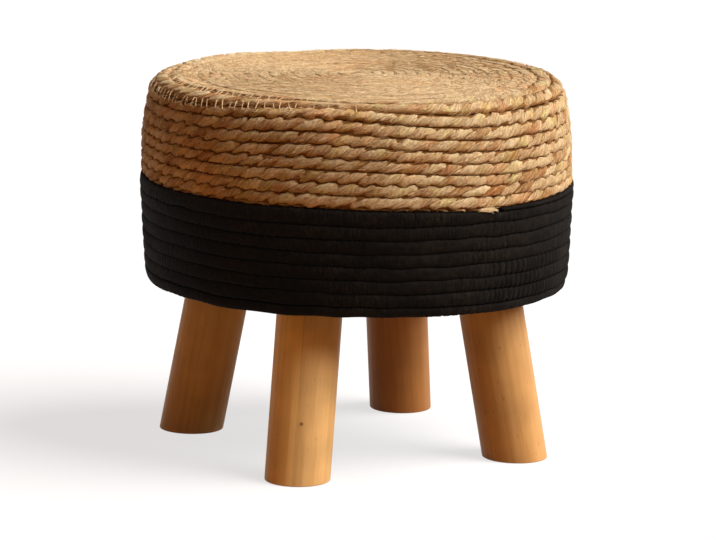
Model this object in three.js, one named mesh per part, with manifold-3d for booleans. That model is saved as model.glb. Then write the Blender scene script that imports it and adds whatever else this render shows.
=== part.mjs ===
// A round footstool on four splayed pine legs. A straw rope is wound over the top and the upper half
// of the side, and a black fabric cord is wound round the lower half. Inside are a foam pad, two
// plywood boards held apart by four posts, and a hoop with wadding round it.
// Millimetres, +Z up. The origin is on the floor, under the middle of the seat, and -Y is the front.

import * as THREE from "three";
import { mergeVertices } from "three/addons/utils/BufferGeometryUtils.js";
import Module from "manifold-3d";

const wasm = await Module();
wasm.setup();

// Driving dimensions
const gap = 0.3;                  // left between pieces that touch
const facets = 40;                // round a board, the pad or the hoop
const boreFacets = 8;             // round a screw or a drilled hole
const weldReach = 1e-4;           // within which points become one

// The cover's profile, at the middle of the rope and of the cord
const crownTop = 347.6;           // level of the rope in the middle of the seat
const crownRise = 4.3;            // of the crown over its edge
const crownReach = 176.6;         // radius at which the crown turns into the rim
const rimRadius = 13;             // of the rim's round
const sideRadius = 195;           // at the widest level of the side
const bulgeRadius = 260;          // of the side as it leans in towards the rim
const bulgeLevel = 278;           // below it the side is upright
const bandShoulder = { radius: 196, level: 250 };
const bandHeel = { radius: 191, level: 176 };
const heelRadius = 60;            // of the curve by which the last cord row turns in
const heelSweep = 21;             // degrees of that curve

// The straw rope
const ropeRadius = 5.4;           // to the corners of its six-sided section
const ropeSectionTurn = -15;      // degrees, so that a row faces the next alike on the top and the side
const ropeStartOffset = 8.5;      // by which the first turn clears the rope's own end in the middle
const ropeEndRun = 2 * ropeRadius;
const ropeStartShift = -1.5;      // of the rope's own end to one side of the middle
const splitTurns = 17.25;         // turns of the top winding, which ends on the rim at the rear
const rimOpening = 2.4;           // by which the rows at the rim spread
const rimOpeningStart = 15;       // turns
const rimOpeningTurns = 3;
const tailAzimuth = -77.6;        // degrees, where the rope's tail meets the start of the black cord
const tailTurns = 24 + (360 + tailAzimuth) / 360;
const rowAboveTail = 262.4;       // level of the straw row that passes above the tail
const tailThickness = 0.42;       // of the rope at its tail, as a share of its full thickness
const coarseTurns = 5;            // the innermost turns have half as many steps
const stepsPerTurn = 24;
const slightTurn = 0.001;         // turns, to find the way the rope runs

// The black cord
const cordPitch = 12.3;
const cordTurns = 8.55;
const cordHalfDepth = 5;          // to the ridge of its outer face
const cordFlatDepth = 3.7;        // to the corners above and below the ridge
const cordRowGap = 0.9;
const cordEndThickness = 0.35;    // of the cord at its lower end, as a share of its full thickness

// The body inside the cover
const boardRadius = 171;
const baseBottom = 172;
const baseThickness = 15;
const seatTop = 312;
const seatThickness = 12;
const hoopThickness = 4.7;
const hoopInner = boardRadius + gap;
const hoopOuter = hoopInner + hoopThickness;
const waddingClearance = 0.6;     // from the windings
const waddingDraw = 2.5;          // by which the wadding is drawn in at its edges
const waddingRound = 5;           // height over which it is drawn in
const waddingLevels = [190, 215, 245];
const padTop = 341.6;
const padReach = 172.5;
const padRimRadius = 8;
const padWaist = 177.5;
const padFoot = 180;
const padEasing = 3;              // of the pad's lower edge
const padWaistRise = 1;           // of the waist over the middle of the pad's side
const dustCoverRadius = 180.5;
const dustCoverThickness = 0.8;

// Posts and their screws
const postSide = 38;
const postRadius = 138;           // from the middle of the stool to the middle of a post
const postScrewLength = 40;

// Legs, 90 degrees apart
const legRadius = 30;
const legSplay = 10.76;           // degrees, outwards
const legFootReach = 160.5;       // from the middle of the stool to the middle of a foot
const legTopLevel = 162;          // of the middle of a leg's top face
const legChamfer = 1.2;
const legBoreDepth = 44;
const legFacets = 36;
const boltRadius = 4;
const boltNeck = 3.3;
const boltNeckLength = 6;
const boltPoint = 7;
const boltFacets = 12;
const boltUp = 17;                // of the hanger bolt above the leg
const boltDown = 42;              // of the hanger bolt in the leg

// Leg plates
const plateSide = 66;
const plateCorner = 7;
const plateThickness = 2.3;
const plateInset = 2;              // of a plate's middle from the middle of the leg's top
const plateBossRadius = 19;
const bossFacets = 20;
const plateScrewOffset = 26;
const plateScrewLength = 13;
const plateBoltHole = 10;         // radius of the clearance hole over a bolt

// Screws
const screwRadius = 2;
const screwClearance = 0.35;      // all round, in the bore that is drilled for it
const screwBore = screwRadius + screwClearance;
const screwPoint = 5;             // length of the point
const screwHeadRadius = 3.8;
const screwHeadDepth = 2.6;       // of a countersunk head
const screwHeadRim = 0.4;
const panHeadHeight = 2.1;

const plateTop = baseBottom - dustCoverThickness - 2 * gap;
const plateBottom = plateTop - plateThickness;
const splay = THREE.MathUtils.degToRad(legSplay);
const legTopReach = legFootReach - legTopLevel * Math.tan(splay);
const plateReach = legTopReach - plateInset;

// Finishes
const straw = new THREE.MeshStandardMaterial({ color: "#c39358", roughness: 0.85, metalness: 0 });
const blackCord = new THREE.MeshStandardMaterial({ color: "#16130f", roughness: 0.9, metalness: 0 });
const pine = new THREE.MeshStandardMaterial({ color: "#cf9a5e", roughness: 0.5, metalness: 0 });
const plywood = new THREE.MeshStandardMaterial({ color: "#c9a877", roughness: 0.75, metalness: 0 });
const fibreboard = new THREE.MeshStandardMaterial({ color: "#8a6a45", roughness: 0.85, metalness: 0 });
const foam = new THREE.MeshStandardMaterial({ color: "#eadfae", roughness: 0.95, metalness: 0 });
const wadding = new THREE.MeshStandardMaterial({ color: "#ecebe6", roughness: 1, metalness: 0 });
const feltBlack = new THREE.MeshStandardMaterial({ color: "#1b1b1d", roughness: 0.95, metalness: 0 });
const zinc = new THREE.MeshStandardMaterial({ color: "#b9bcc0", roughness: 0.35, metalness: 1 });

const stool = new THREE.Group();

// Helpers that turn three.js shapes into closed, welded geometry

function welded(geometry) {
  geometry.deleteAttribute("normal");
  geometry.deleteAttribute("uv");
  const merged = mergeVertices(geometry, weldReach);
  const index = merged.getIndex().array;
  const kept = [];
  for (let i = 0; i < index.length; i += 3) {
    const [a, b, c] = [index[i], index[i + 1], index[i + 2]];
    if (a !== b && b !== c && c !== a) kept.push(a, b, c);
  }
  merged.setIndex(kept);
  return merged;
}

// A profile of [radius, level] points turned round +Z, from the bottom of the axis upwards
function revolved(profile, segments) {
  const points = profile.map(([radius, level]) => new THREE.Vector2(radius, level));
  return welded(new THREE.LatheGeometry(points, segments).rotateX(Math.PI / 2));
}

function disc(radius, bottom, top, segments) {
  return revolved([[0, bottom], [radius, bottom], [radius, top], [0, top]], segments);
}

function asSolid(geometry) {
  const vertProperties = new Float32Array(geometry.getAttribute("position").array);
  const triVerts = new Uint32Array(geometry.getIndex().array);
  return new wasm.Manifold(new wasm.Mesh({ numProp: 3, vertProperties, triVerts }));
}

function asGeometry(solid) {
  const mesh = solid.getMesh();
  const geometry = new THREE.BufferGeometry();
  geometry.setAttribute("position", new THREE.BufferAttribute(mesh.vertProperties, 3));
  geometry.setIndex(new THREE.BufferAttribute(mesh.triVerts, 1));
  return geometry;
}

function drilled(geometry, tools) {
  const cutters = tools.map(asSolid);
  return asGeometry(cutters.reduce((solid, cutter) => solid.subtract(cutter), asSolid(geometry)));
}

function addPiece(name, geometry, material, parent = stool) {
  const mesh = new THREE.Mesh(geometry, material);
  mesh.name = name;
  parent.add(mesh);
  return mesh;
}

// A point at a distance from the stool's axis, in the direction of an azimuth in degrees
function around(azimuth, reach, level) {
  const angle = THREE.MathUtils.degToRad(azimuth);
  return new THREE.Vector3(reach * Math.cos(angle), reach * Math.sin(angle), level);
}

// The cover's profile, from the middle of the seat outwards and down the side

function rimCentre(crownCentre, bulgeCentre, crownRadius) {
  const fromCrown = crownRadius - rimRadius;
  const fromBulge = bulgeRadius - rimRadius;
  const line = bulgeCentre.clone().sub(crownCentre);
  const distance = line.length();
  const along = (distance ** 2 + fromCrown ** 2 - fromBulge ** 2) / (2 * distance);
  const across = Math.sqrt(fromCrown ** 2 - along ** 2);
  line.normalize();
  const outwards = new THREE.Vector2(line.y, -line.x);
  return crownCentre.clone().addScaledVector(line, along).addScaledVector(outwards, across);
}

function coverProfile() {
  const crownRadius = (crownReach ** 2 + crownRise ** 2) / (2 * crownRise);
  const crownCentre = new THREE.Vector2(0, crownTop - crownRadius);
  const bulgeCentre = new THREE.Vector2(sideRadius - bulgeRadius, bulgeLevel);
  const rim = rimCentre(crownCentre, bulgeCentre, crownRadius);
  const rimStart = rim.clone().sub(crownCentre).angle();
  const rimEnd = rim.clone().sub(bulgeCentre).angle();
  const shoulder = new THREE.Vector2(bandShoulder.radius, bandShoulder.level);
  const heel = new THREE.Vector2(bandHeel.radius, bandHeel.level);
  const outwards = heel.clone().sub(shoulder).normalize().rotateAround(new THREE.Vector2(), Math.PI / 2);
  const heelCentre = heel.clone().addScaledVector(outwards, -heelRadius);
  const heelStart = outwards.angle();
  const heelEnd = heelStart - THREE.MathUtils.degToRad(heelSweep);
  const path = new THREE.Path();
  path.absarc(crownCentre.x, crownCentre.y, crownRadius, Math.PI / 2, rimStart, true);
  path.absarc(rim.x, rim.y, rimRadius, rimStart, rimEnd, true);
  path.absarc(bulgeCentre.x, bulgeCentre.y, bulgeRadius, rimEnd, 0, true);
  path.lineTo(sideRadius, rowAboveTail);
  path.lineTo(shoulder.x, shoulder.y);
  path.lineTo(heel.x, heel.y);
  path.absarc(heelCentre.x, heelCentre.y, heelRadius, heelStart, heelEnd, true);
  return path;
}

const cover = coverProfile();
const coverLength = cover.getLength();
const rowAboveTailDistance = coverDistance(rowAboveTail);
const ropePitch = (rowAboveTailDistance - ropeStartOffset - rimOpening) / (tailTurns - 1);
const tailHeight = ropePitch * tailThickness;

// How far along the profile the side first reaches a level
function coverDistance(level) {
  let low = 0;
  let high = coverLength;
  while (high - low > 1e-6) {
    const middle = (low + high) / 2;
    if (cover.getPoint(middle / coverLength).y > level) low = middle;
    else high = middle;
  }
  return low;
}

function windingPoint(turn, distance) {
  const point = cover.getPoint(distance / coverLength);
  return around(360 * turn, point.x, point.y);
}

// Windings. A ring is a point of the centre line with the outline of the section there, whose
// first coordinate points out of the stool and whose second points up.

function windingFrames(rings) {
  return rings.map((ring, i) => {
    const before = rings[Math.max(i - 1, 0)].point;
    const after = rings[Math.min(i + 1, rings.length - 1)].point;
    const along = after.clone().sub(before).normalize();
    const out = along.clone().cross(new THREE.Vector3(0, 0, 1)).normalize();
    const up = out.clone().cross(along);
    return ring.outline.map(([x, y]) => ring.point.clone().addScaledVector(out, x).addScaledVector(up, y));
  });
}

function tube(rings) {
  const frames = windingFrames(rings);
  const sides = frames[0].length;
  const positions = frames.flat().flatMap((point) => [point.x, point.y, point.z]);
  const index = [];
  for (let ring = 0; ring + 1 < frames.length; ring++) {
    for (let side = 0; side < sides; side++) {
      const a = ring * sides + side;
      const b = ring * sides + (side + 1) % sides;
      index.push(a, a + sides, b, b, a + sides, b + sides);
    }
  }
  const last = (frames.length - 1) * sides;
  for (let side = 1; side + 1 < sides; side++) {
    index.push(0, side, side + 1, last, last + side + 1, last + side);
  }
  const geometry = new THREE.BufferGeometry();
  geometry.setAttribute("position", new THREE.Float32BufferAttribute(positions, 3));
  geometry.setIndex(index);
  return geometry;
}

// Rings at even steps between two turns, with a straight run of one thickness at an end that asks
// for it, square to what the end meets
function windingRings(from, to, stepSize, distance, outline, straight) {
  const at = (turn) => ({ point: windingPoint(turn, distance(turn)), outline: outline(turn) });
  const clear = 0.6 / stepsPerTurn;
  const rings = [];
  if (straight.start) rings.push(...straightRun(from, 1, distance, outline));
  const first = straight.start ? from + clear : from - clear;
  const last = straight.end ? to - clear : to + clear;
  for (let turn = 0; turn <= last; turn += stepSize(turn)) {
    if (turn >= first) rings.push(at(turn));
  }
  if (straight.end) rings.push(...straightRun(to, -1, distance, outline).reverse());
  return rings;
}

function straightRun(turn, direction, distance, outline) {
  const point = windingPoint(turn, distance(turn));
  const ahead = windingPoint(turn + slightTurn, distance(turn + slightTurn));
  const behind = windingPoint(turn - slightTurn, distance(turn - slightTurn));
  const along = ahead.sub(behind).normalize().multiplyScalar(direction);
  return [gap / 2, gap / 2 + ropeEndRun].map((reach) => ({
    point: point.clone().addScaledVector(along, reach),
    outline: outline(turn),
  }));
}

// The least distance between stretches of a tube that lie over two thicknesses apart along it
function leastGap(rings, thickness) {
  const apart = 2.5 * thickness;
  const points = surfacePoints(rings);
  const cell = thickness;
  const key = (x, y, z) => `${x},${y},${z}`;
  const cells = new Map();
  for (const item of points) {
    item.cell = item.point.toArray().map((value) => Math.floor(value / cell));
    const name = key(...item.cell);
    if (!cells.has(name)) cells.set(name, []);
    cells.get(name).push(item);
  }
  let least = Infinity;
  for (const item of points) {
    for (let n = 0; n < 27; n++) {
      const shift = [n % 3 - 1, Math.floor(n / 3) % 3 - 1, Math.floor(n / 9) - 1];
      const near = cells.get(key(...item.cell.map((value, axis) => value + shift[axis]))) ?? [];
      for (const other of near) {
        if (other.run - item.run < apart) continue;
        least = Math.min(least, item.point.distanceTo(other.point));
      }
    }
  }
  return least;
}

function surfacePoints(rings) {
  const frames = windingFrames(rings);
  const perSide = 6;
  const points = [];
  let run = 0;
  for (let i = 0; i + 1 < frames.length; i++) {
    const length = rings[i].point.distanceTo(rings[i + 1].point);
    for (const share of [0, 0.5]) {
      const outline = frames[i].map((point, side) => point.clone().lerp(frames[i + 1][side], share));
      outline.forEach((point, side) => {
        const next = outline[(side + 1) % outline.length];
        for (let k = 0; k < perSide; k++) {
          points.push({ point: point.clone().lerp(next, k / perSide), run: run + share * length });
        }
      });
    }
    run += length;
  }
  return points;
}

function ropeOutline(thickness) {
  return Array.from({ length: 6 }, (_, corner) => {
    const angle = THREE.MathUtils.degToRad(ropeSectionTurn + 60 * corner);
    return [ropeRadius * Math.cos(angle), ropeRadius * Math.sin(angle) * thickness];
  });
}

function cordOutline(height) {
  const half = (height - cordRowGap) / 2;
  return [
    [cordHalfDepth, 0], [cordFlatDepth, half], [-cordFlatDepth, half],
    [-cordHalfDepth, 0], [-cordFlatDepth, -half], [cordFlatDepth, -half],
  ];
}

// The rope thins over its last turn, so that the cover's lower edge stays near level
function ropeThickness(turn) {
  return 1 - (1 - tailThickness) * THREE.MathUtils.clamp(turn - tailTurns + 1, 0, 1);
}

function ropeDistance(turn) {
  const opening = rimOpening * THREE.MathUtils.clamp((turn - rimOpeningStart) / rimOpeningTurns, 0, 1);
  return ropeStartOffset + opening + ropePitch * (turn - (1 - ropeThickness(turn)) / 2);
}

// The cord starts as thin as the rope's tail, is full after a turn, and thins again at its end
function cordThickness(turn) {
  const start = tailHeight / cordPitch;
  const grown = start + (1 - start) * THREE.MathUtils.clamp(turn, 0, 1);
  const spent = (1 - cordEndThickness) * THREE.MathUtils.clamp(turn - cordTurns + 1, 0, 1);
  return grown - spent;
}

function cordDistance(turn) {
  const upperEdge = rowAboveTailDistance + ropePitch / 2
    + tailHeight * Math.min(turn, 1) + cordPitch * Math.max(turn - 1, 0);
  return upperEdge + cordPitch * cordThickness(turn) / 2;
}

function addWindings() {
  const fineStep = 1 / stepsPerTurn;
  const ropeSection = (turn) => ropeOutline(ropeThickness(turn));

  // The rope starts with a short straight run in the middle of the seat
  const topStep = (turn) => (turn < coarseTurns ? 2 * fineStep : fineStep);
  const middle = [-ropeEndRun / 2, ropeEndRun / 2].map((x) => ({
    point: new THREE.Vector3(x, ropeStartShift, crownTop),
    outline: ropeOutline(1),
  }));
  const top = windingRings(2 * fineStep, splitTurns, topStep, ropeDistance, ropeSection, { end: true });
  const topRings = [...middle, ...top];
  addPiece("straw_top_coil", tube(topRings), straw);

  const bothEnds = { start: true, end: true };
  const side = windingRings(splitTurns, tailTurns, () => fineStep, ropeDistance, ropeSection, bothEnds);
  addPiece("straw_side_coil", tube(side), straw);

  // The cord's turns are counted from the tail, so its rings line up with the rope's
  const cordSection = (turn) => cordOutline(cordPitch * cordThickness(turn - tailTurns));
  const cordWay = (turn) => cordDistance(turn - tailTurns);
  const cordEnd = tailTurns + cordTurns;
  const band = windingRings(tailTurns, cordEnd, () => fineStep, cordWay, cordSection, bothEnds);
  addPiece("black_band_coil", tube(band), blackCord);

  const thickness = 2 * ropeRadius;
  const windings = { straw_top_coil: topRings, straw_side_coil: side, black_band_coil: band };
  for (const [name, rings] of Object.entries(windings)) {
    console.log(`${name}: ${rings.length} rings, least gap to itself ${leastGap(rings, thickness).toFixed(2)} mm`);
  }
}

// The seat pad, with its crown, its round rim and its drawn-in side

function addPad() {
  const bottom = seatTop + gap;
  const edgeLevel = padTop - crownRise * (padReach / crownReach) ** 2;
  const profile = [[0, bottom], [padFoot - padEasing, bottom], [padFoot, bottom + padEasing]];
  const rimLevel = edgeLevel - padRimRadius;
  profile.push([padWaist, (bottom + rimLevel) / 2 + padWaistRise]);
  for (let step = 0; step <= 4; step++) {
    const angle = (Math.PI / 2) * (step / 4);
    profile.push([padReach + padRimRadius * Math.cos(angle), rimLevel + padRimRadius * Math.sin(angle)]);
  }
  for (const share of [0.75, 0.5, 0.25]) {
    profile.push([padReach * share, padTop - crownRise * (padReach * share / crownReach) ** 2]);
  }
  profile.push([0, padTop]);
  addPiece("foam_pad", revolved(profile, facets), foam);
}

// The radius inside the windings at a level, where their straight facets come closest to the axis
function insideRadius(level) {
  const centreLine = cover.getPoint(coverDistance(level) / coverLength).x;
  return (centreLine - ropeRadius) * Math.cos(Math.PI / stepsPerTurn) - waddingClearance;
}

// The wadding follows the inside of the windings, and is drawn in at both edges
function addWadding() {
  const bottom = baseBottom + gap;
  const top = seatTop - gap;
  const inner = hoopOuter + gap;
  const levels = [bottom + waddingRound, ...waddingLevels, bulgeLevel, top - waddingRound];
  const outer = levels.map((level) => [insideRadius(level), level]);
  const profile = [
    [inner, bottom], [insideRadius(bottom) - waddingDraw, bottom], ...outer,
    [insideRadius(top) - waddingDraw, top], [inner, top], [inner, bottom],
  ];
  addPiece("side_wadding", revolved(profile, facets), wadding);
}

function addHoop() {
  const profile = [
    [hoopInner, baseBottom], [hoopOuter, baseBottom], [hoopOuter, seatTop], [hoopInner, seatTop],
    [hoopInner, baseBottom],
  ];
  addPiece("side_hoop", revolved(profile, facets), fibreboard);
}

// Screws, drawn with the head up and its top at level 0

function countersunkScrew(length) {
  return revolved([
    [0, -length], [screwRadius, -length + screwPoint], [screwRadius, -screwHeadDepth],
    [screwHeadRadius, -screwHeadRim], [screwHeadRadius, 0], [0, 0],
  ], boreFacets);
}

function countersunkHole(depth) {
  const head = screwHeadRadius + screwClearance;
  return revolved([
    [0, -depth], [screwBore, -depth], [screwBore, -screwHeadDepth - screwClearance],
    [head, -screwHeadRim], [head, 1], [0, 1],
  ], boreFacets);
}

function panScrew(length) {
  return revolved([
    [0, -length], [screwRadius, -length + screwPoint], [screwRadius, 0],
    [screwHeadRadius, 0], [screwHeadRadius, panHeadHeight / 2], [0.6 * screwHeadRadius, panHeadHeight],
    [0, panHeadHeight],
  ], boreFacets);
}

function post() {
  const bottom = baseBottom + baseThickness + gap;
  const height = seatTop - seatThickness - gap - bottom;
  const block = welded(new THREE.BoxGeometry(postSide, postSide, height)).translate(0, 0, bottom + height / 2);
  const depth = postScrewLength + screwClearance;
  const upper = disc(screwBore, seatTop - depth, seatTop, boreFacets);
  const lower = disc(screwBore, baseBottom, baseBottom + depth, boreFacets);
  return drilled(block, [upper, lower]);
}

function plateScrewPlaces() {
  const places = [];
  for (const x of [-plateScrewOffset, plateScrewOffset]) {
    for (const y of [-plateScrewOffset, plateScrewOffset]) places.push([plateReach + x, y]);
  }
  return places;
}

const quarterNames = ["rear_right", "rear_left", "front_left", "front_right"];
const sideNames = ["right", "rear", "left", "front"];
const legAzimuth = (quarter) => 45 + 90 * quarter;

function turnedGroup(azimuth) {
  const group = new THREE.Group();
  group.rotation.z = THREE.MathUtils.degToRad(azimuth);
  stool.add(group);
  return group;
}

function addBoards() {
  const seatCuts = [];
  const baseCuts = [];
  for (let side = 0; side < 4; side++) {
    const place = around(90 * side, postRadius, 0);
    const quarterTurn = THREE.MathUtils.degToRad(legAzimuth(side));
    seatCuts.push(countersunkHole(seatThickness + 1).translate(place.x, place.y, seatTop));
    baseCuts.push(countersunkHole(baseThickness + 1).rotateX(Math.PI).translate(place.x, place.y, baseBottom));
    const boltHole = disc(plateBoltHole, baseBottom - 1, baseBottom + baseThickness + 1, 16);
    baseCuts.push(boltHole.translate(plateReach, 0, 0).rotateZ(quarterTurn));
    for (const [x, y] of plateScrewPlaces()) {
      const pilot = disc(screwBore, baseBottom - 1, baseBottom + plateScrewLength, boreFacets);
      baseCuts.push(pilot.translate(x, y, 0).rotateZ(quarterTurn));
    }
  }
  const seat = disc(boardRadius, seatTop - seatThickness, seatTop, facets);
  const base = disc(boardRadius, baseBottom, baseBottom + baseThickness, facets);
  addPiece("seat_board", drilled(seat, seatCuts), plywood);
  addPiece("base_board", drilled(base, baseCuts), plywood);
}

function circlePoints(x, y, radius, count) {
  return Array.from({ length: count }, (_, i) => {
    const angle = 2 * Math.PI * i / count;
    return new THREE.Vector2(x + radius * Math.cos(angle), y + radius * Math.sin(angle));
  });
}

function addDustCover() {
  const shape = new THREE.Shape(circlePoints(0, 0, dustCoverRadius, facets));
  for (let quarter = 0; quarter < 4; quarter++) {
    const angle = THREE.MathUtils.degToRad(legAzimuth(quarter));
    const hole = (x, y, radius, count) => {
      const points = circlePoints(x, y, radius, count);
      points.forEach((point) => point.rotateAround(new THREE.Vector2(), angle));
      shape.holes.push(new THREE.Path(points));
    };
    hole(plateReach, 0, plateBoltHole, 16);
    plateScrewPlaces().forEach(([x, y]) => hole(x, y, screwBore, boreFacets));
  }
  const sheet = new THREE.ExtrudeGeometry(shape, { depth: dustCoverThickness, bevelEnabled: false });
  sheet.translate(0, 0, baseBottom - gap - dustCoverThickness);
  addPiece("dust_cover", welded(sheet), feltBlack);
}

function addPosts() {
  const block = post();
  for (let side = 0; side < 4; side++) {
    const group = turnedGroup(90 * side);
    addPiece(`post_${sideNames[side]}`, block, pine, group).position.x = postRadius;
    const upper = addPiece(`post_screw_top_${sideNames[side]}`, countersunkScrew(postScrewLength), zinc, group);
    upper.position.set(postRadius, 0, seatTop - 0.1);
    const lower = addPiece(`post_screw_base_${sideNames[side]}`, countersunkScrew(postScrewLength), zinc, group);
    lower.position.set(postRadius, 0, baseBottom + 0.1);
    lower.rotation.x = Math.PI;
  }
}

// A leg stands on its own slanted axis, and its foot is cut level with the floor

function onLegAxis(geometry) {
  return geometry.rotateY(-splay).translate(legTopReach, 0, legTopLevel);
}

function leg() {
  const bore = boltRadius + gap;
  const below = legTopLevel / Math.cos(splay) + legRadius;
  const bar = revolved([
    [0, -below], [legRadius, -below], [legRadius, -legChamfer], [legRadius - legChamfer, 0],
    [bore, 0], [bore, -legBoreDepth], [0, -legBoreDepth],
  ], legFacets);
  const block = 4 * legRadius;
  const underFloor = welded(new THREE.BoxGeometry(block, block, block)).translate(legFootReach, 0, -block / 2);
  return drilled(onLegAxis(bar), [underFloor]);
}

// A hanger bolt has a wood thread below and a machine thread above, with a plain neck between them
function hangerBolt() {
  return onLegAxis(revolved([
    [0, -boltDown], [boltRadius, -boltDown + boltPoint], [boltRadius, -boltNeckLength - 1],
    [boltNeck, -boltNeckLength], [boltNeck, -1], [boltRadius, 0], [boltRadius, boltUp - 1],
    [boltRadius - 1, boltUp], [0, boltUp],
  ], boltFacets));
}

// A plate is a flat flange with a wedge-shaped boss under it, whose lower face is square to the leg
function legPlate() {
  const half = plateSide / 2;
  const outline = new THREE.Shape();
  outline.moveTo(-half + plateCorner, -half);
  outline.lineTo(half - plateCorner, -half);
  outline.absarc(half - plateCorner, -half + plateCorner, plateCorner, -Math.PI / 2, 0, false);
  outline.absarc(half - plateCorner, half - plateCorner, plateCorner, 0, Math.PI / 2, false);
  outline.absarc(-half + plateCorner, half - plateCorner, plateCorner, Math.PI / 2, Math.PI, false);
  outline.absarc(-half + plateCorner, -half + plateCorner, plateCorner, Math.PI, 1.5 * Math.PI, false);
  const flat = new THREE.ExtrudeGeometry(outline, { depth: plateThickness, bevelEnabled: false, curveSegments: 3 });
  const flange = welded(flat).translate(plateReach, 0, plateBottom);
  const boss = disc(plateBossRadius, legTopLevel - plateBossRadius, plateBottom + plateThickness / 2, bossFacets);
  boss.translate(legTopReach, 0, 0);
  const belowBoss = onLegAxis(disc(3 * plateBossRadius, -plateSide, gap, bossFacets));
  const wedge = asSolid(boss).subtract(asSolid(belowBoss));
  const joined = asGeometry(asSolid(flange).add(wedge));
  const threadHole = onLegAxis(disc(boltRadius + gap, -plateSide, plateSide, boltFacets));
  const screwHoles = plateScrewPlaces().map(([x, y]) =>
    disc(screwBore, plateBottom - 1, plateTop + 1, boreFacets).translate(x, y, 0));
  return drilled(joined, [threadHole, ...screwHoles]);
}

function addLegs() {
  const legShape = leg();
  const boltShape = hangerBolt();
  const plateShape = legPlate();
  const screwShape = panScrew(plateScrewLength + plateThickness);
  for (let quarter = 0; quarter < 4; quarter++) {
    const name = quarterNames[quarter];
    const group = turnedGroup(legAzimuth(quarter));
    addPiece(`leg_${name}`, legShape, pine, group);
    addPiece(`hanger_bolt_${name}`, boltShape, zinc, group);
    addPiece(`leg_plate_${name}`, plateShape, zinc, group);
    plateScrewPlaces().forEach(([x, y], corner) => {
      const screw = addPiece(`plate_screw_${name}_${corner + 1}`, screwShape, zinc, group);
      screw.position.set(x, y, plateBottom - gap);
      screw.rotation.x = Math.PI;
    });
  }
}

addWindings();
addPad();
addWadding();
addHoop();
addBoards();
addDustCover();
addPosts();
addLegs();

export default stool;
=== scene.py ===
"""A round footstool wound with straw rope and black cord, on four splayed pine legs.

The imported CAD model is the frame. This script winds the two-strand rope and the gathered cord over
it, stitches the rim, turns the legs and gives every piece its finish. Lengths are in metres.
"""

import math

import bpy
import numpy as np
from mathutils import Matrix, Vector


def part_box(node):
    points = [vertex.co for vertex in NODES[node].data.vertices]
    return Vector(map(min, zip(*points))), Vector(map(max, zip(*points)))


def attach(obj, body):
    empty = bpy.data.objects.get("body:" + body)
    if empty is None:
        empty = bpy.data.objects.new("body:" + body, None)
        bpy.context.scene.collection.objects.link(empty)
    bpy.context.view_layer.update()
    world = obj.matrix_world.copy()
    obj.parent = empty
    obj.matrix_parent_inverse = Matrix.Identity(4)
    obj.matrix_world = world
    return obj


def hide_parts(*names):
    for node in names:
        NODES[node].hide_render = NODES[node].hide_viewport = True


bl_info = {
    "name": "Rope Footstool",
    "version": (1, 0, 0),
    "blender": (4, 5, 0),
    "location": "3D View > Sidebar > Footstool",
    "description": "Winds, turns and finishes a rope footstool around its packed frame",
    "category": "Add Mesh",
}

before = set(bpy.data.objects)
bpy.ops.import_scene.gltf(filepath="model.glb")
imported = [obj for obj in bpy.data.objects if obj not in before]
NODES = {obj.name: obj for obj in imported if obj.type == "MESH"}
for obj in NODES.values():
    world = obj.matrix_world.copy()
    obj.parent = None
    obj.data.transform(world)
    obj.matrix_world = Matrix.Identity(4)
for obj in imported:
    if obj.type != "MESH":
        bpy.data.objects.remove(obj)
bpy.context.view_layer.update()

MM = 0.001
TURN = 2 * math.pi

# The cover's profile at the middle of the rope and of the cord, as the frame has it
CROWN_TOP = 347.6 * MM
CROWN_RISE = 4.3 * MM
CROWN_REACH = 176.6 * MM
RIM_RADIUS = 13 * MM
SIDE_RADIUS = 195 * MM
BULGE_RADIUS = 260 * MM
BULGE_LEVEL = 278 * MM
BAND_SHOULDER = np.array([196, 250]) * MM
BAND_HEEL = np.array([191, 176]) * MM
HEEL_RADIUS = 60 * MM
HEEL_SWEEP = math.radians(21)

# The straw rope's way, counted in turns from the middle of the seat
ROPE_START_OFFSET = 8.5 * MM
ROPE_FIRST_TURN = -0.5
ROPE_FIRST_DRAW = 9 * MM
RIM_OPENING = 2.4 * MM
RIM_OPENING_START = 15
RIM_OPENING_TURNS = 3
SWAY = 6.5 * MM           # how far the rows round the rim sit below an even winding
SWAY_DIP = 8.5 * MM       # less of it at the front left, where the rows ride up
SWAY_AZIMUTH = 232
SWAY_WIDTH = 27
SPLIT_TURNS = 17.25
TAIL_AZIMUTH = -77.6
TAIL_TURNS = 24 + (360 + TAIL_AZIMUTH) / 360
ROW_ABOVE_TAIL = 262.4 * MM
TAIL_SHARE = 0.42

# The black cord's way
CORD_PITCH = 12.3 * MM
CORD_TURNS = 8.55
CORD_END_SHARE = 0.35

# Levels of the edge between straw and black, in turns after the cord starts beside the rope's tail
EDGE_TURNS = [0, 0.04, 0.07, 0.095, 0.14, 0.25, 0.4, 0.62, 0.71, 0.76, 0.82, 0.85, 0.885, 0.94, 0.97, 1]
EDGE_LEVELS = np.array([253.1, 253.2, 253.7, 255.0, 255.6, 256.6, 257.6, 258.6, 256.4, 256.6, 256.5, 257.3,
                        256.2, 254.6, 252.4, 250.9]) * MM

# How the stuffing lifts the rim and how the lower rows sag, by degrees round the stool from the side
# that faces the camera, positive to the right in its picture. Then how far the right side bulges
LIFT_DEGREES = (-180, -160, -148, -132, -110, -60, 30, 70, 90, 115, 150, 180)
LIFTS = np.array([2.3, 0.6, 1.4, 2.4, 1.2, 0, 0, 1.4, 2.4, 3.6, 3.6, 2.3]) * MM
SAG_DEGREES = (-180, 20, 40, 75, 130, 180)
SAGS = np.array([0, 0, 2.6, 2.6, 0, 0]) * MM
BULGE_LEVELS = np.array([172, 190, 215, 250, 275, 330]) * MM
BULGES = np.array([4.6, 4.2, 3.6, 2.8, 1.4, 0.3]) * MM

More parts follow.
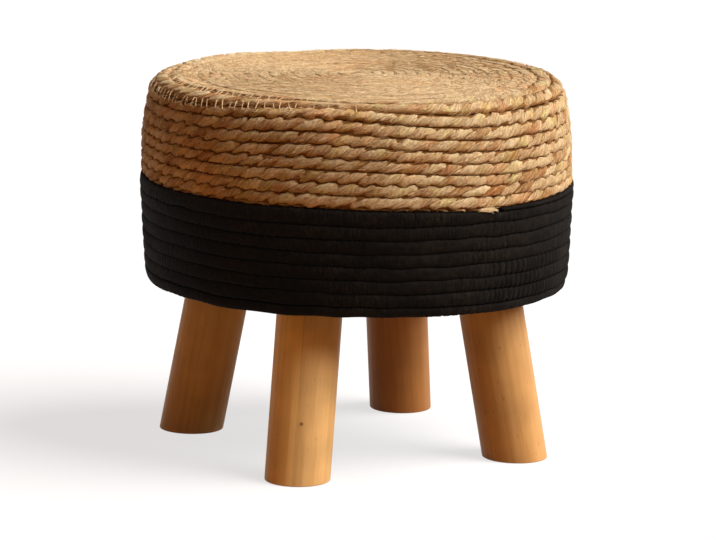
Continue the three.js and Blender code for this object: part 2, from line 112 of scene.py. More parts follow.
# The legs' size, lean and place
LEG_RADIUS = 30 * MM
LEG_SPLAY = math.radians(10.76)
LEG_FOOT_REACH = 160.5 * MM
LEG_TOP_LEVEL = 162 * MM
LEG_TOP_REACH = LEG_FOOT_REACH - LEG_TOP_LEVEL * math.tan(LEG_SPLAY)
LEG_BORE = 4.3 * MM
LEG_BORE_DEPTH = 44 * MM
QUARTERS = {"rear_right": 45, "rear_left": 135, "front_left": 225, "front_right": 315}  # in degrees
SIDES = ("right", "rear", "left", "front")  # where the posts between the boards stand

# The camera, fitted to the photograph
CAMERA_AZIMUTH = math.radians(-117.58)
CAMERA_DISTANCE = 3.642
CAMERA_HEIGHT = 0.858
CAMERA_YAW = math.radians(0.06)
CAMERA_PITCH = math.radians(10.77)
CAMERA_ROLL = math.radians(-1.02)
CAMERA_LENS = 198.6
CAMERA_SENSOR = 36


# Settings


class StrawSettings(bpy.types.PropertyGroup):
    """The straw rope, its stitches and its loose fibres"""

    rope_radius: bpy.props.FloatProperty(
        name="Rope radius", description="From the middle of the rope to the crest of a strand",
        default=5.5 * MM, unit="LENGTH")
    lay: bpy.props.FloatProperty(
        name="Lay", description="Length in which a strand goes once round the rope",
        default=36 * MM, unit="LENGTH")
    step: bpy.props.FloatProperty(
        name="Step", description="Between the rings of a strand's mesh", default=2.25 * MM, unit="LENGTH")
    pale: bpy.props.FloatVectorProperty(
        name="Pale straw", description="Colour of a dry blade", subtype="COLOR",
        default=(0.93, 0.722, 0.425))
    deep: bpy.props.FloatVectorProperty(
        name="Deep straw", description="Colour of a dark blade", subtype="COLOR",
        default=(0.46, 0.215, 0.066))
    # The colour of the painted shade between the strands and rows
    painted_shade_colour: bpy.props.FloatVectorProperty(
        name="Crevice", description="Colour between the strands", subtype="COLOR",
        default=(0.20, 0.086, 0.027))
    stitch_spacing: bpy.props.FloatProperty(
        name="Stitch spacing", description="Between two stitches at the rim", default=7.5 * MM,
        unit="LENGTH")
    fibres: bpy.props.IntProperty(
        name="Loose fibres", description="Number of fibre ends that stand out of the rope", default=3900)
    matted_fibres: bpy.props.IntProperty(
        name="Matted fibres", description="Number of fibres that lie across the worn seat", default=4200)


class BandSettings(bpy.types.PropertyGroup):
    """The gathered black cord"""

    depth: bpy.props.FloatProperty(
        name="Half depth", description="From the middle of the cord to its outer face",
        default=5.2 * MM, unit="LENGTH")
    gather: bpy.props.FloatProperty(
        name="Gather", description="Between two gathers of the cloth", default=3.6 * MM, unit="LENGTH")
    colour: bpy.props.FloatVectorProperty(
        name="Cord colour", description="Colour of the black cloth", subtype="COLOR",
        default=(0.0083, 0.0064, 0.0050))


class LegSettings(bpy.types.PropertyGroup):
    """The turned pine legs"""

    facets: bpy.props.IntProperty(
        name="Facets", description="Round a leg", default=96)
    easing: bpy.props.FloatProperty(
        name="Easing", description="Of the edges at a leg's foot and top", default=1.0 * MM,
        unit="LENGTH")
    early: bpy.props.FloatVectorProperty(
        name="Early wood", description="Pale colour between the growth rings", subtype="COLOR",
        default=(0.76, 0.43, 0.175))
    late: bpy.props.FloatVectorProperty(
        name="Late wood", description="Darker colour of the growth rings", subtype="COLOR",
        default=(0.62, 0.31, 0.10))


class StageSettings(bpy.types.PropertyGroup):
    """The lamps and the floor"""

    key_strength: bpy.props.FloatProperty(
        name="Key strength", description="Of the soft light from the right", default=5.5)
    fill_strength: bpy.props.FloatProperty(
        name="Fill strength", description="Of the weak soft light from the left", default=0.10)
    ambient: bpy.props.FloatVectorProperty(
        name="Ambient", description="Light from the room all round", subtype="COLOR",
        default=(0.10, 0.031, 0.004))
    floor: bpy.props.FloatVectorProperty(
        name="Floor", description="Colour of the floor", subtype="COLOR", default=(1.0, 1.0, 1.0))


class FootstoolSettings(bpy.types.PropertyGroup):
    """All settings of the footstool"""

    straw: bpy.props.PointerProperty(type=StrawSettings)
    band: bpy.props.PointerProperty(type=BandSettings)
    legs: bpy.props.PointerProperty(type=LegSettings)
    stage: bpy.props.PointerProperty(type=StageSettings)


# The cover's profile, and windings that follow it

ARC_POINTS = 400
SAMPLES_A_TURN = 500


def arc(centre, radius, start, end):
    """Points of an arc in the plane of radius and level"""
    angles = np.linspace(start, end, ARC_POINTS)
    return np.stack([centre[0] + radius * np.cos(angles), centre[1] + radius * np.sin(angles)], axis=1)


def direction(vector):
    """The angle of a vector in the plane of radius and level"""
    return math.atan2(vector[1], vector[0])


def cover_profile():
    """Points of the cover's profile, from the middle of the seat outwards and down the side"""
    crown_radius = (CROWN_REACH ** 2 + CROWN_RISE ** 2) / (2 * CROWN_RISE)
    crown = np.array([0, CROWN_TOP - crown_radius])
    bulge = np.array([SIDE_RADIUS - BULGE_RADIUS, BULGE_LEVEL])
    line = bulge - crown
    distance = np.linalg.norm(line)
    line = line / distance
    from_crown = crown_radius - RIM_RADIUS
    from_bulge = BULGE_RADIUS - RIM_RADIUS
    along = (distance ** 2 + from_crown ** 2 - from_bulge ** 2) / (2 * distance)
    across = math.sqrt(from_crown ** 2 - along ** 2)
    rim = crown + along * line + across * np.array([line[1], -line[0]])
    rim_start = direction(rim - crown)
    rim_end = direction(rim - bulge)
    fall = (BAND_HEEL - BAND_SHOULDER) / np.linalg.norm(BAND_HEEL - BAND_SHOULDER)
    outwards = np.array([-fall[1], fall[0]])
    heel_start = direction(outwards)
    return np.concatenate([
        arc(crown, crown_radius, math.pi / 2, rim_start),
        arc(rim, RIM_RADIUS, rim_start, rim_end),
        arc(bulge, BULGE_RADIUS, rim_end, 0),
        [[SIDE_RADIUS, ROW_ABOVE_TAIL]],
        [BAND_SHOULDER],
        arc(BAND_HEEL - HEEL_RADIUS * outwards, HEEL_RADIUS, heel_start, heel_start - HEEL_SWEEP),
    ])


def run_of(points):
    """Distances along a line of points, from its first point"""
    steps = np.linalg.norm(np.diff(points, axis=0), axis=1)
    return np.concatenate([[0], np.cumsum(steps)])


COVER = cover_profile()
COVER_RUN = run_of(COVER)


def on_cover(distance):
    """Radius and level at a distance along the profile"""
    return np.interp(distance, COVER_RUN, COVER[:, 0]), np.interp(distance, COVER_RUN, COVER[:, 1])


def distance_at(level):
    """How far along the profile the side first reaches a level"""
    return np.interp(-np.asarray(level), -COVER[:, 1], COVER_RUN)


ROW_ABOVE_TAIL_DISTANCE = float(distance_at(ROW_ABOVE_TAIL))
ROPE_PITCH = (ROW_ABOVE_TAIL_DISTANCE - ROPE_START_OFFSET - RIM_OPENING) / (TAIL_TURNS - 1)
TAIL_HEIGHT = ROPE_PITCH * TAIL_SHARE


def camera_degrees(azimuth):
    """Degrees from the side that faces the camera, positive to the right in its picture"""
    return (np.degrees(azimuth - CAMERA_AZIMUTH) + 180) % 360 - 180


def sway(turn):
    """How far the rope sits below an even winding: most round the rim, nothing in the middle"""
    away = (360 * turn - SWAY_AZIMUTH + 180) % 360 - 180
    share = np.interp(turn, (6, 14.6, 15.4, 18, TAIL_TURNS), (0, 0.4, 1, 1, 0))
    sag = np.interp(camera_degrees(TURN * turn), SAG_DEGREES, SAGS) * np.interp(turn, (17, 20.5), (0, 1))
    return share * (SWAY - SWAY_DIP * np.exp(-(away / SWAY_WIDTH) ** 2)) + sag


def rope_distance(turn):
    """How far along the profile the middle of the rope is"""
    opening = RIM_OPENING * np.clip((turn - RIM_OPENING_START) / RIM_OPENING_TURNS, 0, 1)
    draw = ROPE_START_OFFSET + opening + ROPE_PITCH * turn + sway(turn)
    return np.where(turn < 0, ROPE_START_OFFSET + ROPE_FIRST_DRAW * turn, draw)


def edge_distance(turn):
    """Where the edge between straw and black is, in turns after the cord's start"""
    return distance_at(np.interp(turn, EDGE_TURNS, EDGE_LEVELS))


def cord_share(turn):
    """The cord's height as a share of its full height, in turns after its start"""
    start = TAIL_HEIGHT / CORD_PITCH
    grown = start + (1 - start) * np.clip(turn, 0, 1)
    return grown - (1 - CORD_END_SHARE) * np.clip(turn - CORD_TURNS + 1, 0, 1)


def cord_wave(turn):
    """How far the seams of the hand-wound cord waver"""
    quick = np.sin(TURN * 23.4 * turn + 1.3 * np.sin(TURN * 5.7 * turn))
    quick = quick * (0.4 + 0.3 * np.sin(TURN * 3.1 * turn))
    slow = 0.6 * np.sin(TURN * 7.3 * turn + 2 * np.sin(TURN * 1.7 * turn))
    return (quick + slow) * np.interp(turn, (1, 1.3, CORD_TURNS - 0.4, CORD_TURNS), (0, 0.8, 0.8, 0)) * MM


def cord_upper(turn):
    """Upper edge of an evenly wound cord along the profile, in turns after its start"""
    late = 2.6 * MM * (1 - smooth_step(np.abs(turn - 1), 0.05, 0.35))
    return (ROW_ABOVE_TAIL_DISTANCE + ROPE_PITCH / 2 + late
            + TAIL_HEIGHT * np.minimum(turn, 1) + CORD_PITCH * np.maximum(turn - 1, 0) + cord_wave(turn))


def cord_edges(turn):
    """Upper and lower edge of the cord along the profile, in turns after its start"""
    upper = np.where(turn < 1, edge_distance(turn), cord_upper(turn))
    ending = cord_upper(turn) + CORD_PITCH * cord_share(turn)
    return upper, np.where(turn > CORD_TURNS - 1, ending, cord_upper(turn + 1))


def cord_middle(turn):
    """How far along the profile the middle of the cord is, in turns from the middle of the seat"""
    upper, lower = cord_edges(turn - TAIL_TURNS)
    return (upper + lower) / 2


def settled(place):
    """Points of the cover, moved by its uneven stuffing: the rim is higher at the rear, and the right
    side is fuller"""
    x, y, level = place[:, 0], place[:, 1], place[:, 2]
    radius = np.hypot(x, y)
    degrees = camera_degrees(np.arctan2(y, x))
    lift = np.interp(degrees, LIFT_DEGREES, LIFTS) * smooth_step(level, 0.285, 0.345)
    lift = lift * np.clip(radius / CROWN_REACH, 0, 1) ** 2
    side = np.sin(np.radians(degrees))
    side = np.where(side > 0, side, -0.25 * side) ** 1.5
    bulge = side * np.interp(level, BULGE_LEVELS, BULGES) / np.maximum(radius, 20 * MM)
    grown = 1 + bulge * np.clip(radius / (170 * MM), 0, 1) ** 6
    return np.stack([x * grown, y * grown, level + lift], axis=1)


def winding_frames(turns, distance):
    """Middle, outward direction and row direction at each ring of a winding"""
    radius, level = on_cover(distance)
    ahead = on_cover(distance + 0.2 * MM)
    behind = on_cover(distance - 0.2 * MM)
    fall = np.stack([ahead[0] - behind[0], ahead[1] - behind[1]], axis=1)
    fall /= np.linalg.norm(fall, axis=1)[:, None]
    cos, sin = np.cos(TURN * turns), np.sin(TURN * turns)
    place = settled(np.stack([radius * cos, radius * sin, level], axis=1))
    out = np.stack([-fall[:, 1] * cos, -fall[:, 1] * sin, fall[:, 0]], axis=1)
    row = np.stack([fall[:, 0] * cos, fall[:, 0] * sin, fall[:, 1]], axis=1)
    return place, out, row


def even_turns(start, end, distance, step):
    """Turns at even steps along a winding's own length, and that length at each of them"""
    dense = np.linspace(start, end, int((end - start) * SAMPLES_A_TURN))
    run = run_of(winding_frames(dense, distance(dense))[0])
    length = np.linspace(0, run[-1], int(run[-1] / step) + 1)
    return np.interp(length, run, dense), length


# Small random changes, the same on every run, and smooth ways between values

START_TAPER = 6 * MM
END_TAPER = 9 * MM


def drift(length, spacing, seed):
    """A smooth change about 0 along a length, with a new value every spacing"""
    values = np.random.default_rng(seed).standard_normal(int(length.max() / spacing) + 3)
    at = (length - length.min()) / spacing
    first = np.floor(at).astype(int)
    share = at - first
    share = share * share * (3 - 2 * share)
    return values[first] * (1 - share) + values[first + 1] * share


def smooth_step(value, low, high):
    """0 below low, 1 above high, and a smooth rise between them"""
    share = np.clip((value - low) / (high - low), 0, 1)
    return share * share * (3 - 2 * share)


def closing(length, rest):
    """1 along a winding, and a smooth fall to 0 at its start and, a rest before it, at its end"""
    end = length[-1]
    return smooth_step(length, 0, START_TAPER) * (1 - smooth_step(length, end - END_TAPER, end - rest))


def pressed(value, limit):
    """A positive value pressed softly against a limit"""
    sharpness = 5
    return value / (1 + (value / limit) ** sharpness) ** (1 / sharpness)


# Meshes


def link(mesh):
    """A new object at the origin for a mesh, with the mesh's name"""
    piece = bpy.data.objects.new(mesh.name, mesh)
    bpy.context.scene.collection.objects.link(piece)
    return piece


def grid_faces(rings, sides, start=0, closed=False):
    """Quads between rings of points, with the ring and side of each. A closed form also joins its
    last ring to its first."""
    ring, side = np.meshgrid(np.arange(rings if closed else rings - 1), np.arange(sides), indexing="ij")
    ring, side = ring.ravel(), side.ravel()
    low, high, after = ring * sides, (ring + 1) % rings * sides, (side + 1) % sides
    return np.stack([low + side, low + after, high + after, high + side], axis=1) + start, ring, side


def plain_mesh(name, points, faces):
    """A mesh of points and smooth faces"""
    mesh = bpy.data.meshes.new(name)
    mesh.from_pydata(points, [], faces)
    mesh.polygons.foreach_set("use_smooth", np.ones(len(faces), bool))
    return mesh


def tube_mesh(name, tubes, around, **attributes):
    """A mesh of closed tubes. A tube is (rings, lengths): its points by ring and side, and the length
    along it at each ring. around is the length round a tube, for the UV map. A mesh of one tube may
    hold attributes, also by ring and side."""
    points, quads, triangles, quad_uv = [], [], [], []
    start = 0
    for rings, length in tubes:
        count, sides, _ = rings.shape
        faces, ring, side = grid_faces(count, sides, start)
        corners = ((ring, side), (ring, side + 1), (ring + 1, side + 1), (ring + 1, side))
        corner_uv = [np.stack([length[r], s * around / sides], axis=1) for r, s in corners]
        quad_uv.append(np.stack(corner_uv, axis=1))
        points += [rings.reshape(-1, 3), rings[:1].mean(axis=1), rings[-1:].mean(axis=1)]
        quads.append(faces)
        this = np.arange(sides) + start
        after = (np.arange(sides) + 1) % sides + start
        end, tip = (count - 1) * sides, start + count * sides
        triangles.append(np.stack([np.full(sides, tip), after, this], axis=1))
        triangles.append(np.stack([np.full(sides, tip + 1), end + this, end + after], axis=1))
        start += count * sides + 2
    points, quads, triangles = (np.concatenate(part) for part in (points, quads, triangles))
    corners = np.concatenate([quads.ravel(), triangles.ravel()]).astype(np.int32)
    starts = np.concatenate([np.arange(len(quads)) * 4, quads.size + np.arange(len(triangles)) * 3])
    uv = np.zeros((len(corners), 2), np.float32)
    uv[:quads.size] = np.concatenate(quad_uv).reshape(-1, 2)
    mesh = bpy.data.meshes.new(name)
    mesh.vertices.add(len(points))
    mesh.vertices.foreach_set("co", points.astype(np.float32).ravel())
    mesh.loops.add(len(corners))
    mesh.loops.foreach_set("vertex_index", corners)
    mesh.polygons.add(len(starts))
    mesh.polygons.foreach_set("loop_start", starts.astype(np.int32))
    mesh.polygons.foreach_set("use_smooth", np.ones(len(starts), bool))
    mesh.uv_layers.new(name="fibre").data.foreach_set("uv", uv.ravel())
    for key, grid in attributes.items():
        value = np.concatenate([grid.ravel(), [grid[0].mean(), grid[-1].mean()]])
        mesh.attributes.new(key, "FLOAT", "POINT").data.foreach_set("value", value.astype(np.float32))
    mesh.update(calc_edges=True)
    mesh.validate()
    return mesh


def fine_tubes(name, threads, sides, around):
    """Thin closed tubes. A thread is a line of points and the radius at each of them"""
    tubes = []
    angles = np.linspace(0, TURN, sides, endpoint=False)[None, :, None]
    for line, radius in threads:
        along = np.gradient(line, axis=0)
        along /= np.linalg.norm(along, axis=1)[:, None]
        helper = np.where(np.abs(along[:, 2:3]) > 0.8, [[1.0, 0.0, 0.0]], [[0.0, 0.0, 1.0]])
        first = np.cross(along, helper)
        first /= np.linalg.norm(first, axis=1)[:, None]
        second = np.cross(first, along)
        rim = np.cos(angles) * first[:, None] - np.sin(angles) * second[:, None]
        tubes.append((line[:, None] + radius[:, None, None] * rim, run_of(line)))
    return tube_mesh(name, tubes, around)


def swept(frames, outward, downward):
    """Rings of a winding, from how far its points lie outwards and down the row"""
    place, out, row = frames
    rings = place[:, None] + outward[..., None] * out[:, None] + downward[..., None] * row[:, None]
    return rings[:, ::-1]


def laid(turns, distance, rise):
    """Points of a thread or fibre that lies on the cover at a height"""
    place, out, _ = winding_frames(turns, distance)
    return place + rise[:, None] * out


# Shader nodes

WHITE = (1, 1, 1, 1)


def opaque(colour, factor=1.0):
    """A colour times a factor, with full opacity"""
    return (*(factor * value for value in colour[:3]), 1)


def halfway(first, second, share):
    """A colour on the way from one to another"""
    return (*((1 - share) * a + share * b for a, b in zip(first, second)), 1)


class Shade:
    """A node tree that is being filled, with short ways to what the materials share"""

    def __init__(self, tree):
        self.tree = tree

    def feed(self, socket, value):
        """Links a socket to an output, or sets its value"""
        if isinstance(value, bpy.types.NodeSocket):
            self.tree.links.new(value, socket)
        else:
            socket.default_value = value

    def add(self, kind, inputs=None, **settings):
        """The outputs of a new node with its settings and its sockets' values or links"""
        made = self.tree.nodes.new(f"ShaderNode{kind}")
        for name, value in settings.items():
            setattr(made, name, value)
        for name, value in (inputs or {}).items():
            self.feed(made.inputs[name], value)
        return made.outputs

    def calc(self, operation, *values, clamp=False):
        """The result of a Math node"""
        return self.add("Math", dict(enumerate(values)), operation=operation, use_clamp=clamp)[0]

    def total(self, *parts, clamp=False):
        """The sum of values, each times its weight"""
        found = 0.0
        for value, weight in parts:
            found = self.calc("MULTIPLY_ADD", value, weight, found)
        return self.calc("ADD", found, 0.0, clamp=True) if clamp else found

    def vector(self, operation, *values):
        """The outputs of a Vector Math node"""
        return self.add("VectorMath", dict(enumerate(values)), operation=operation)

    def mix(self, factor, first, second, blend="MIX"):
        """Two colours mixed"""
        return self.add("Mix", {0: factor, 6: first, 7: second}, data_type="RGBA", blend_type=blend)[2]

    def tint(self, colour, by):
        """A colour times another"""
        return self.mix(1.0, colour, by, "MULTIPLY")

    def stain(self, colour, share, by):
        """A colour, by a share of the way to itself times another"""
        return self.mix(share, colour, self.tint(colour, by))

    def remap(self, value, low, high, to_low=0.0, to_high=1.0):
        """A value's stretch from low to high, spread smoothly over another"""
        inputs = {"Value": value, "From Min": low, "From Max": high, "To Min": to_low, "To Max": to_high}
        return self.add("MapRange", inputs, interpolation_type="SMOOTHSTEP")["Result"]

    def noise(self, vector, scale, detail, roughness=0.5):
        """Soft noise from 0 to 1"""
        inputs = {"Vector": vector, "Scale": scale, "Detail": detail, "Roughness": roughness}
        return self.add("TexNoise", inputs)["Fac"]

    def cells(self, vector, scale, randomness=1.0):
        """The distance from the middle of each of many cells"""
        inputs = {"Vector": vector, "Scale": scale, "Randomness": randomness}
        return self.add("TexVoronoi", inputs)["Distance"]

    def grey(self, value):
        """A value as a grey colour"""
        return self.add("CombineColor", {0: value, 1: value, 2: value})[0]

    def uv(self):
        """The piece's own UV map"""
        return self.add("UVMap", uv_map="fibre")["UV"]

    def place(self):
        """Object coordinates"""
        return self.add("TexCoord")["Object"]

    def attribute(self, name):
        """A value that the mesh holds at its points"""
        return self.add("Attribute", attribute_name=name)["Fac"]

    def group(self, name, **inputs):
        """The outputs of a node group, placed here with its own values"""
        if name not in bpy.data.node_groups:
            GROUPS[name]()
        return self.add("Group", inputs, node_tree=bpy.data.node_groups[name])

    def streaks(self, vector, stretch, contrast=1.0):
        """Long streaks, by how often they change along each way"""
        return self.group("Fibre streaks", Vector=vector, Stretch=stretch, Contrast=contrast)[0]

    def mottle(self, colour, vector, scale, amount):
        """A colour with soft patches"""
        return self.group("Mottle", Colour=colour, Vector=vector, Scale=scale, Amount=amount)[0]

    def paint_deep_shade(self, colour, painted_shade_colour, low, high):
        """A colour that gives way to a painted shade colour where the surface lies deep"""
        return self.group("Painted deep shade", Colour=colour, Crevice=painted_shade_colour, Low=low, High=high,
                          Exposure=self.attribute("exposure"))[0]


class Finish(Shade):
    """A new material, filled from the back of its Principled shader"""

    def __init__(self, name):
        self.material = bpy.data.materials.new(name)
        self.material.use_nodes = True
        super().__init__(self.material.node_tree)

    def done(self, colour, roughness, height, strength, depth, specular=0.5, sheen=0.0, metallic=0.0):
        """The material, from its colour, its roughness and the height, strength and depth of its bump.
        The roughness is (value, roughness where that is 0, roughness where it is 1)"""
        sockets = {
            "Base Color": colour, "Roughness": self.remap(roughness[0], 0, 1, *roughness[1:]),
            "Normal": self.add("Bump", {"Height": height, "Strength": strength, "Distance": depth})["Normal"],
            "Specular IOR Level": specular, "Sheen Weight": sheen, "Metallic": metallic}
        for name, value in sockets.items():
            self.feed(self.tree.nodes["Principled BSDF"].inputs[name], value)
        return self.material


def shader_group(name, result, kind, **inputs):
    """A new node group: its tree as a Shade, the values given to it, and the socket of its result. An
    input's default has 4 numbers for a colour and 3 for a vector"""
    group = bpy.data.node_groups.new(name, "ShaderNodeTree")
    for label, default in inputs.items():
        sort = {4: "Color", 3: "Vector"}.get(np.size(default), "Float")
        socket = group.interface.new_socket(name=label, in_out="INPUT", socket_type=f"NodeSocket{sort}")
        socket.default_value = default
    group.interface.new_socket(name=result, in_out="OUTPUT", socket_type=f"NodeSocket{kind}")
    given = group.nodes.new("NodeGroupInput").outputs
    return Shade(group), given, group.nodes.new("NodeGroupOutput").inputs[0]


def make_streaks_group():
    """Long streaks, as of fibres or blades, from a noise that is stretched along one way"""
    group, given, result = shader_group(
        "Fibre streaks", "Streak", "Float", Vector=(0, 0, 0), Stretch=(30, 600, 600), Contrast=1.0)
    noise = group.noise(group.vector("MULTIPLY", given["Vector"], given["Stretch"])[0], 1, 3, 0.62)
    gain = group.calc("MULTIPLY", given["Contrast"], 2.6)
    centred = group.calc("SUBTRACT", noise, 0.5)
    group.feed(result, group.calc("MULTIPLY_ADD", centred, gain, 0.5, clamp=True))


def make_painted_shade_group():
    """Painted shade: darkens a colour towards another where the surface lies deep"""
    group, given, result = shader_group(
        "Painted deep shade", "Colour", "Color", Colour=WHITE, Crevice=(0, 0, 0, 1), Exposure=1.0, Low=0.0, High=0.6)
    open_share = group.remap(given["Exposure"], given["Low"], given["High"])
    group.feed(result, group.mix(open_share, given["Crevice"], given["Colour"]))


def make_mottle_group():
    """Soft patches that change a colour's lightness"""
    group, given, result = shader_group(
        "Mottle", "Colour", "Color", Colour=WHITE, Vector=(0, 0, 0), Scale=20.0, Amount=0.2)
    patch = group.remap(group.noise(given["Vector"], given["Scale"], 2), 0.3, 0.7)
    level = group.calc("MULTIPLY_ADD", group.calc("SUBTRACT", patch, 0.5), given["Amount"], 1.0)
    group.feed(result, group.tint(given["Colour"], group.grey(level)))


def make_rings_group():
    """Growth rings round a pith line that runs along Z, as a share of late wood"""
    group, given, result = shader_group(
        "Growth rings", "Late", "Float", Vector=(0, 0, 0), Spacing=3.6 * MM, Waver=2.2 * MM)
    flat = group.vector("MULTIPLY", given["Vector"], (1, 1, 0.02))[0]
    slow = group.vector("MULTIPLY", given["Vector"], (26, 26, 7))[0]
    waver = group.calc("SUBTRACT", group.noise(slow, 1, 1), 0.5)
    shift = group.calc("MULTIPLY", waver, group.calc("MULTIPLY", given["Waver"], 4))
    reach = group.calc("ADD", group.vector("LENGTH", flat)["Value"], shift)
    share = group.calc("FRACT", group.calc("DIVIDE", reach, given["Spacing"]))
    rise = group.remap(share, 0.25, 0.92)
    fall = group.remap(share, 0.92, 1.0, 1.0, 0.0)
    group.feed(result, group.calc("MULTIPLY", rise, fall))


GROUPS = {"Fibre streaks": make_streaks_group, "Painted deep shade": make_painted_shade_group,
          "Mottle": make_mottle_group, "Growth rings": make_rings_group}


# Materials


def seat_share(shade):
    """1 on the seat and 0 from the rim on, by the distance from the stool's axis"""
    flat = shade.vector("MULTIPLY", shade.place(), (1, 1, 0))[0]
    return shade.remap(shade.vector("LENGTH", flat)["Value"], 0.178, 0.150)


def matted_grain(shade):
    """Short matted fibres on the worn seat, as a share of pale straw"""
    return shade.remap(shade.noise(shade.place(), 190.0, 3, 0.7), 0.34, 0.62, 0.18, 1.0)


def straw_material(straw):
    """Dry blades, twisted: long streaks of two colours, with painted shade between the strands"""
    finish = Finish("twisted straw")
    uv, place = finish.uv(), finish.place()
    blades = finish.streaks(uv, (60, 420, 1), 2.0)
    fibres = finish.streaks(uv, (130, 1700, 1), 1.5)
    flecks = finish.streaks(uv, (260, 700, 1), 2.2)
    strand_tone = finish.calc("SUBTRACT", finish.attribute("tone"), 0.3)
    tone = finish.total((blades, 0.42), (fibres, 0.26), (flecks, 0.24), (strand_tone, 0.45), clamp=True)
    seat = seat_share(finish)
    matted = finish.calc("MULTIPLY", seat, 0.55)
    tone = finish.mix(matted, finish.grey(tone), finish.grey(matted_grain(finish)))
    colour = finish.mix(tone, opaque(straw.deep), opaque(straw.pale))
    ripe = finish.remap(finish.noise(place, 22.0, 2), 0.5, 0.72, 0.0, 0.55)
    colour = finish.stain(colour, ripe, (1.0, 0.72, 0.50, 1))
    hue = finish.noise(finish.vector("MULTIPLY", uv, (26, 1, 1))[0], 1, 2)
    calm = finish.remap(seat, 0, 1, 0.85, 0.2)
    greener, redder = (0.93, 0.98, 0.74, 1), (0.92, 0.70, 0.58, 1)
    for low, high, stain in ((0.50, 0.62, greener), (0.46, 0.34, redder)):
        colour = finish.stain(colour, finish.calc("MULTIPLY", finish.remap(hue, low, high), calm), stain)
    colour = finish.mottle(colour, place, 430.0, 0.2)
    # Painted shade: points that lie deep between the strands and rows take the painted shade colour
    colour = finish.paint_deep_shade(colour, opaque(straw.painted_shade_colour), 0.05, 0.62)
    height = finish.total((blades, 0.7), (fibres, 0.3), (flecks, 0.35))
    return finish.done(colour, (fibres, 0.72, 0.50), height, 1.0, 1.5 * MM, specular=0.12)


def core_material(straw):
    """The rope's core, which shows between the strands in the colour of their painted shade, with long fibres
    """
    finish = Finish("rope core")
    streak = finish.streaks(finish.uv(), (60, 1200, 1))
    # Painted shade: where it shows between the strands, the core is darker than they are
    colour = finish.mix(streak, opaque(straw.painted_shade_colour, 0.8), opaque(straw.deep, 0.6))
    matted = finish.calc("MULTIPLY", matted_grain(finish), 0.85)
    seat = finish.mix(matted, opaque(straw.deep), opaque(straw.pale))
    colour = finish.mix(finish.attribute("worn"), colour, seat)
    return finish.done(colour, (streak, 0.95, 0.8), streak, 0.5, 0.4 * MM, specular=0.05)


def fibre_material(name, dark, pale):
    """Single fibres of straw, without painted shade"""
    finish = Finish(name)
    streak = finish.streaks(finish.uv(), (300, 2000, 1))
    return finish.done(finish.mix(streak, dark, pale), (streak, 0.75, 0.55), streak, 0.3, 0.1 * MM)


def thread_material(straw):
    """Pale thread of the same straw"""
    dark, pale = (halfway(straw.deep, straw.pale, share) for share in (0.25, 0.95))
    return fibre_material("straw thread", dark, pale)


def frayed_material(straw):
    """The pale inside of a blade, seen where the rope's end is frayed"""
    pale = [min(1.0, 1.08 * value) for value in straw.pale]
    return fibre_material("frayed straw", opaque(straw.pale, 0.72), opaque(pale))


def cord_material(band):
    """Black cloth, woven fine, dusty on its raised gathers"""
    finish = Finish("gathered black cloth")
    uv, place = finish.uv(), finish.place()
    weave = finish.streaks(uv, (1500, 700, 1), 0.8)
    colour = finish.mix(weave, opaque(band.colour, 0.55), opaque(band.colour, 1.35))
    colour = finish.mottle(colour, place, 26.0, 0.5)
    patch = finish.remap(finish.noise(place, 15.0, 1), 0.40, 0.62, 0.12, 1.0)
    folded = finish.calc("MULTIPLY", finish.streaks(uv, (300, 70, 1), 1.6), patch)
    colour = finish.stain(colour, finish.calc("MULTIPLY", folded, 0.5), (1.6, 1.6, 1.6, 1))
    colour = finish.mottle(colour, place, 170.0, 0.7)
    # Painted shade in the seams between the cord's rows and in the valleys of its pleats
    colour = finish.paint_deep_shade(colour, opaque(band.colour, 0.3), 0.38, 0.62)
    height = finish.total((weave, 0.2), (folded, 1.0))
    return finish.done(colour, (weave, 0.95, 0.8), height, 0.8, 1.1 * MM, specular=0.06)


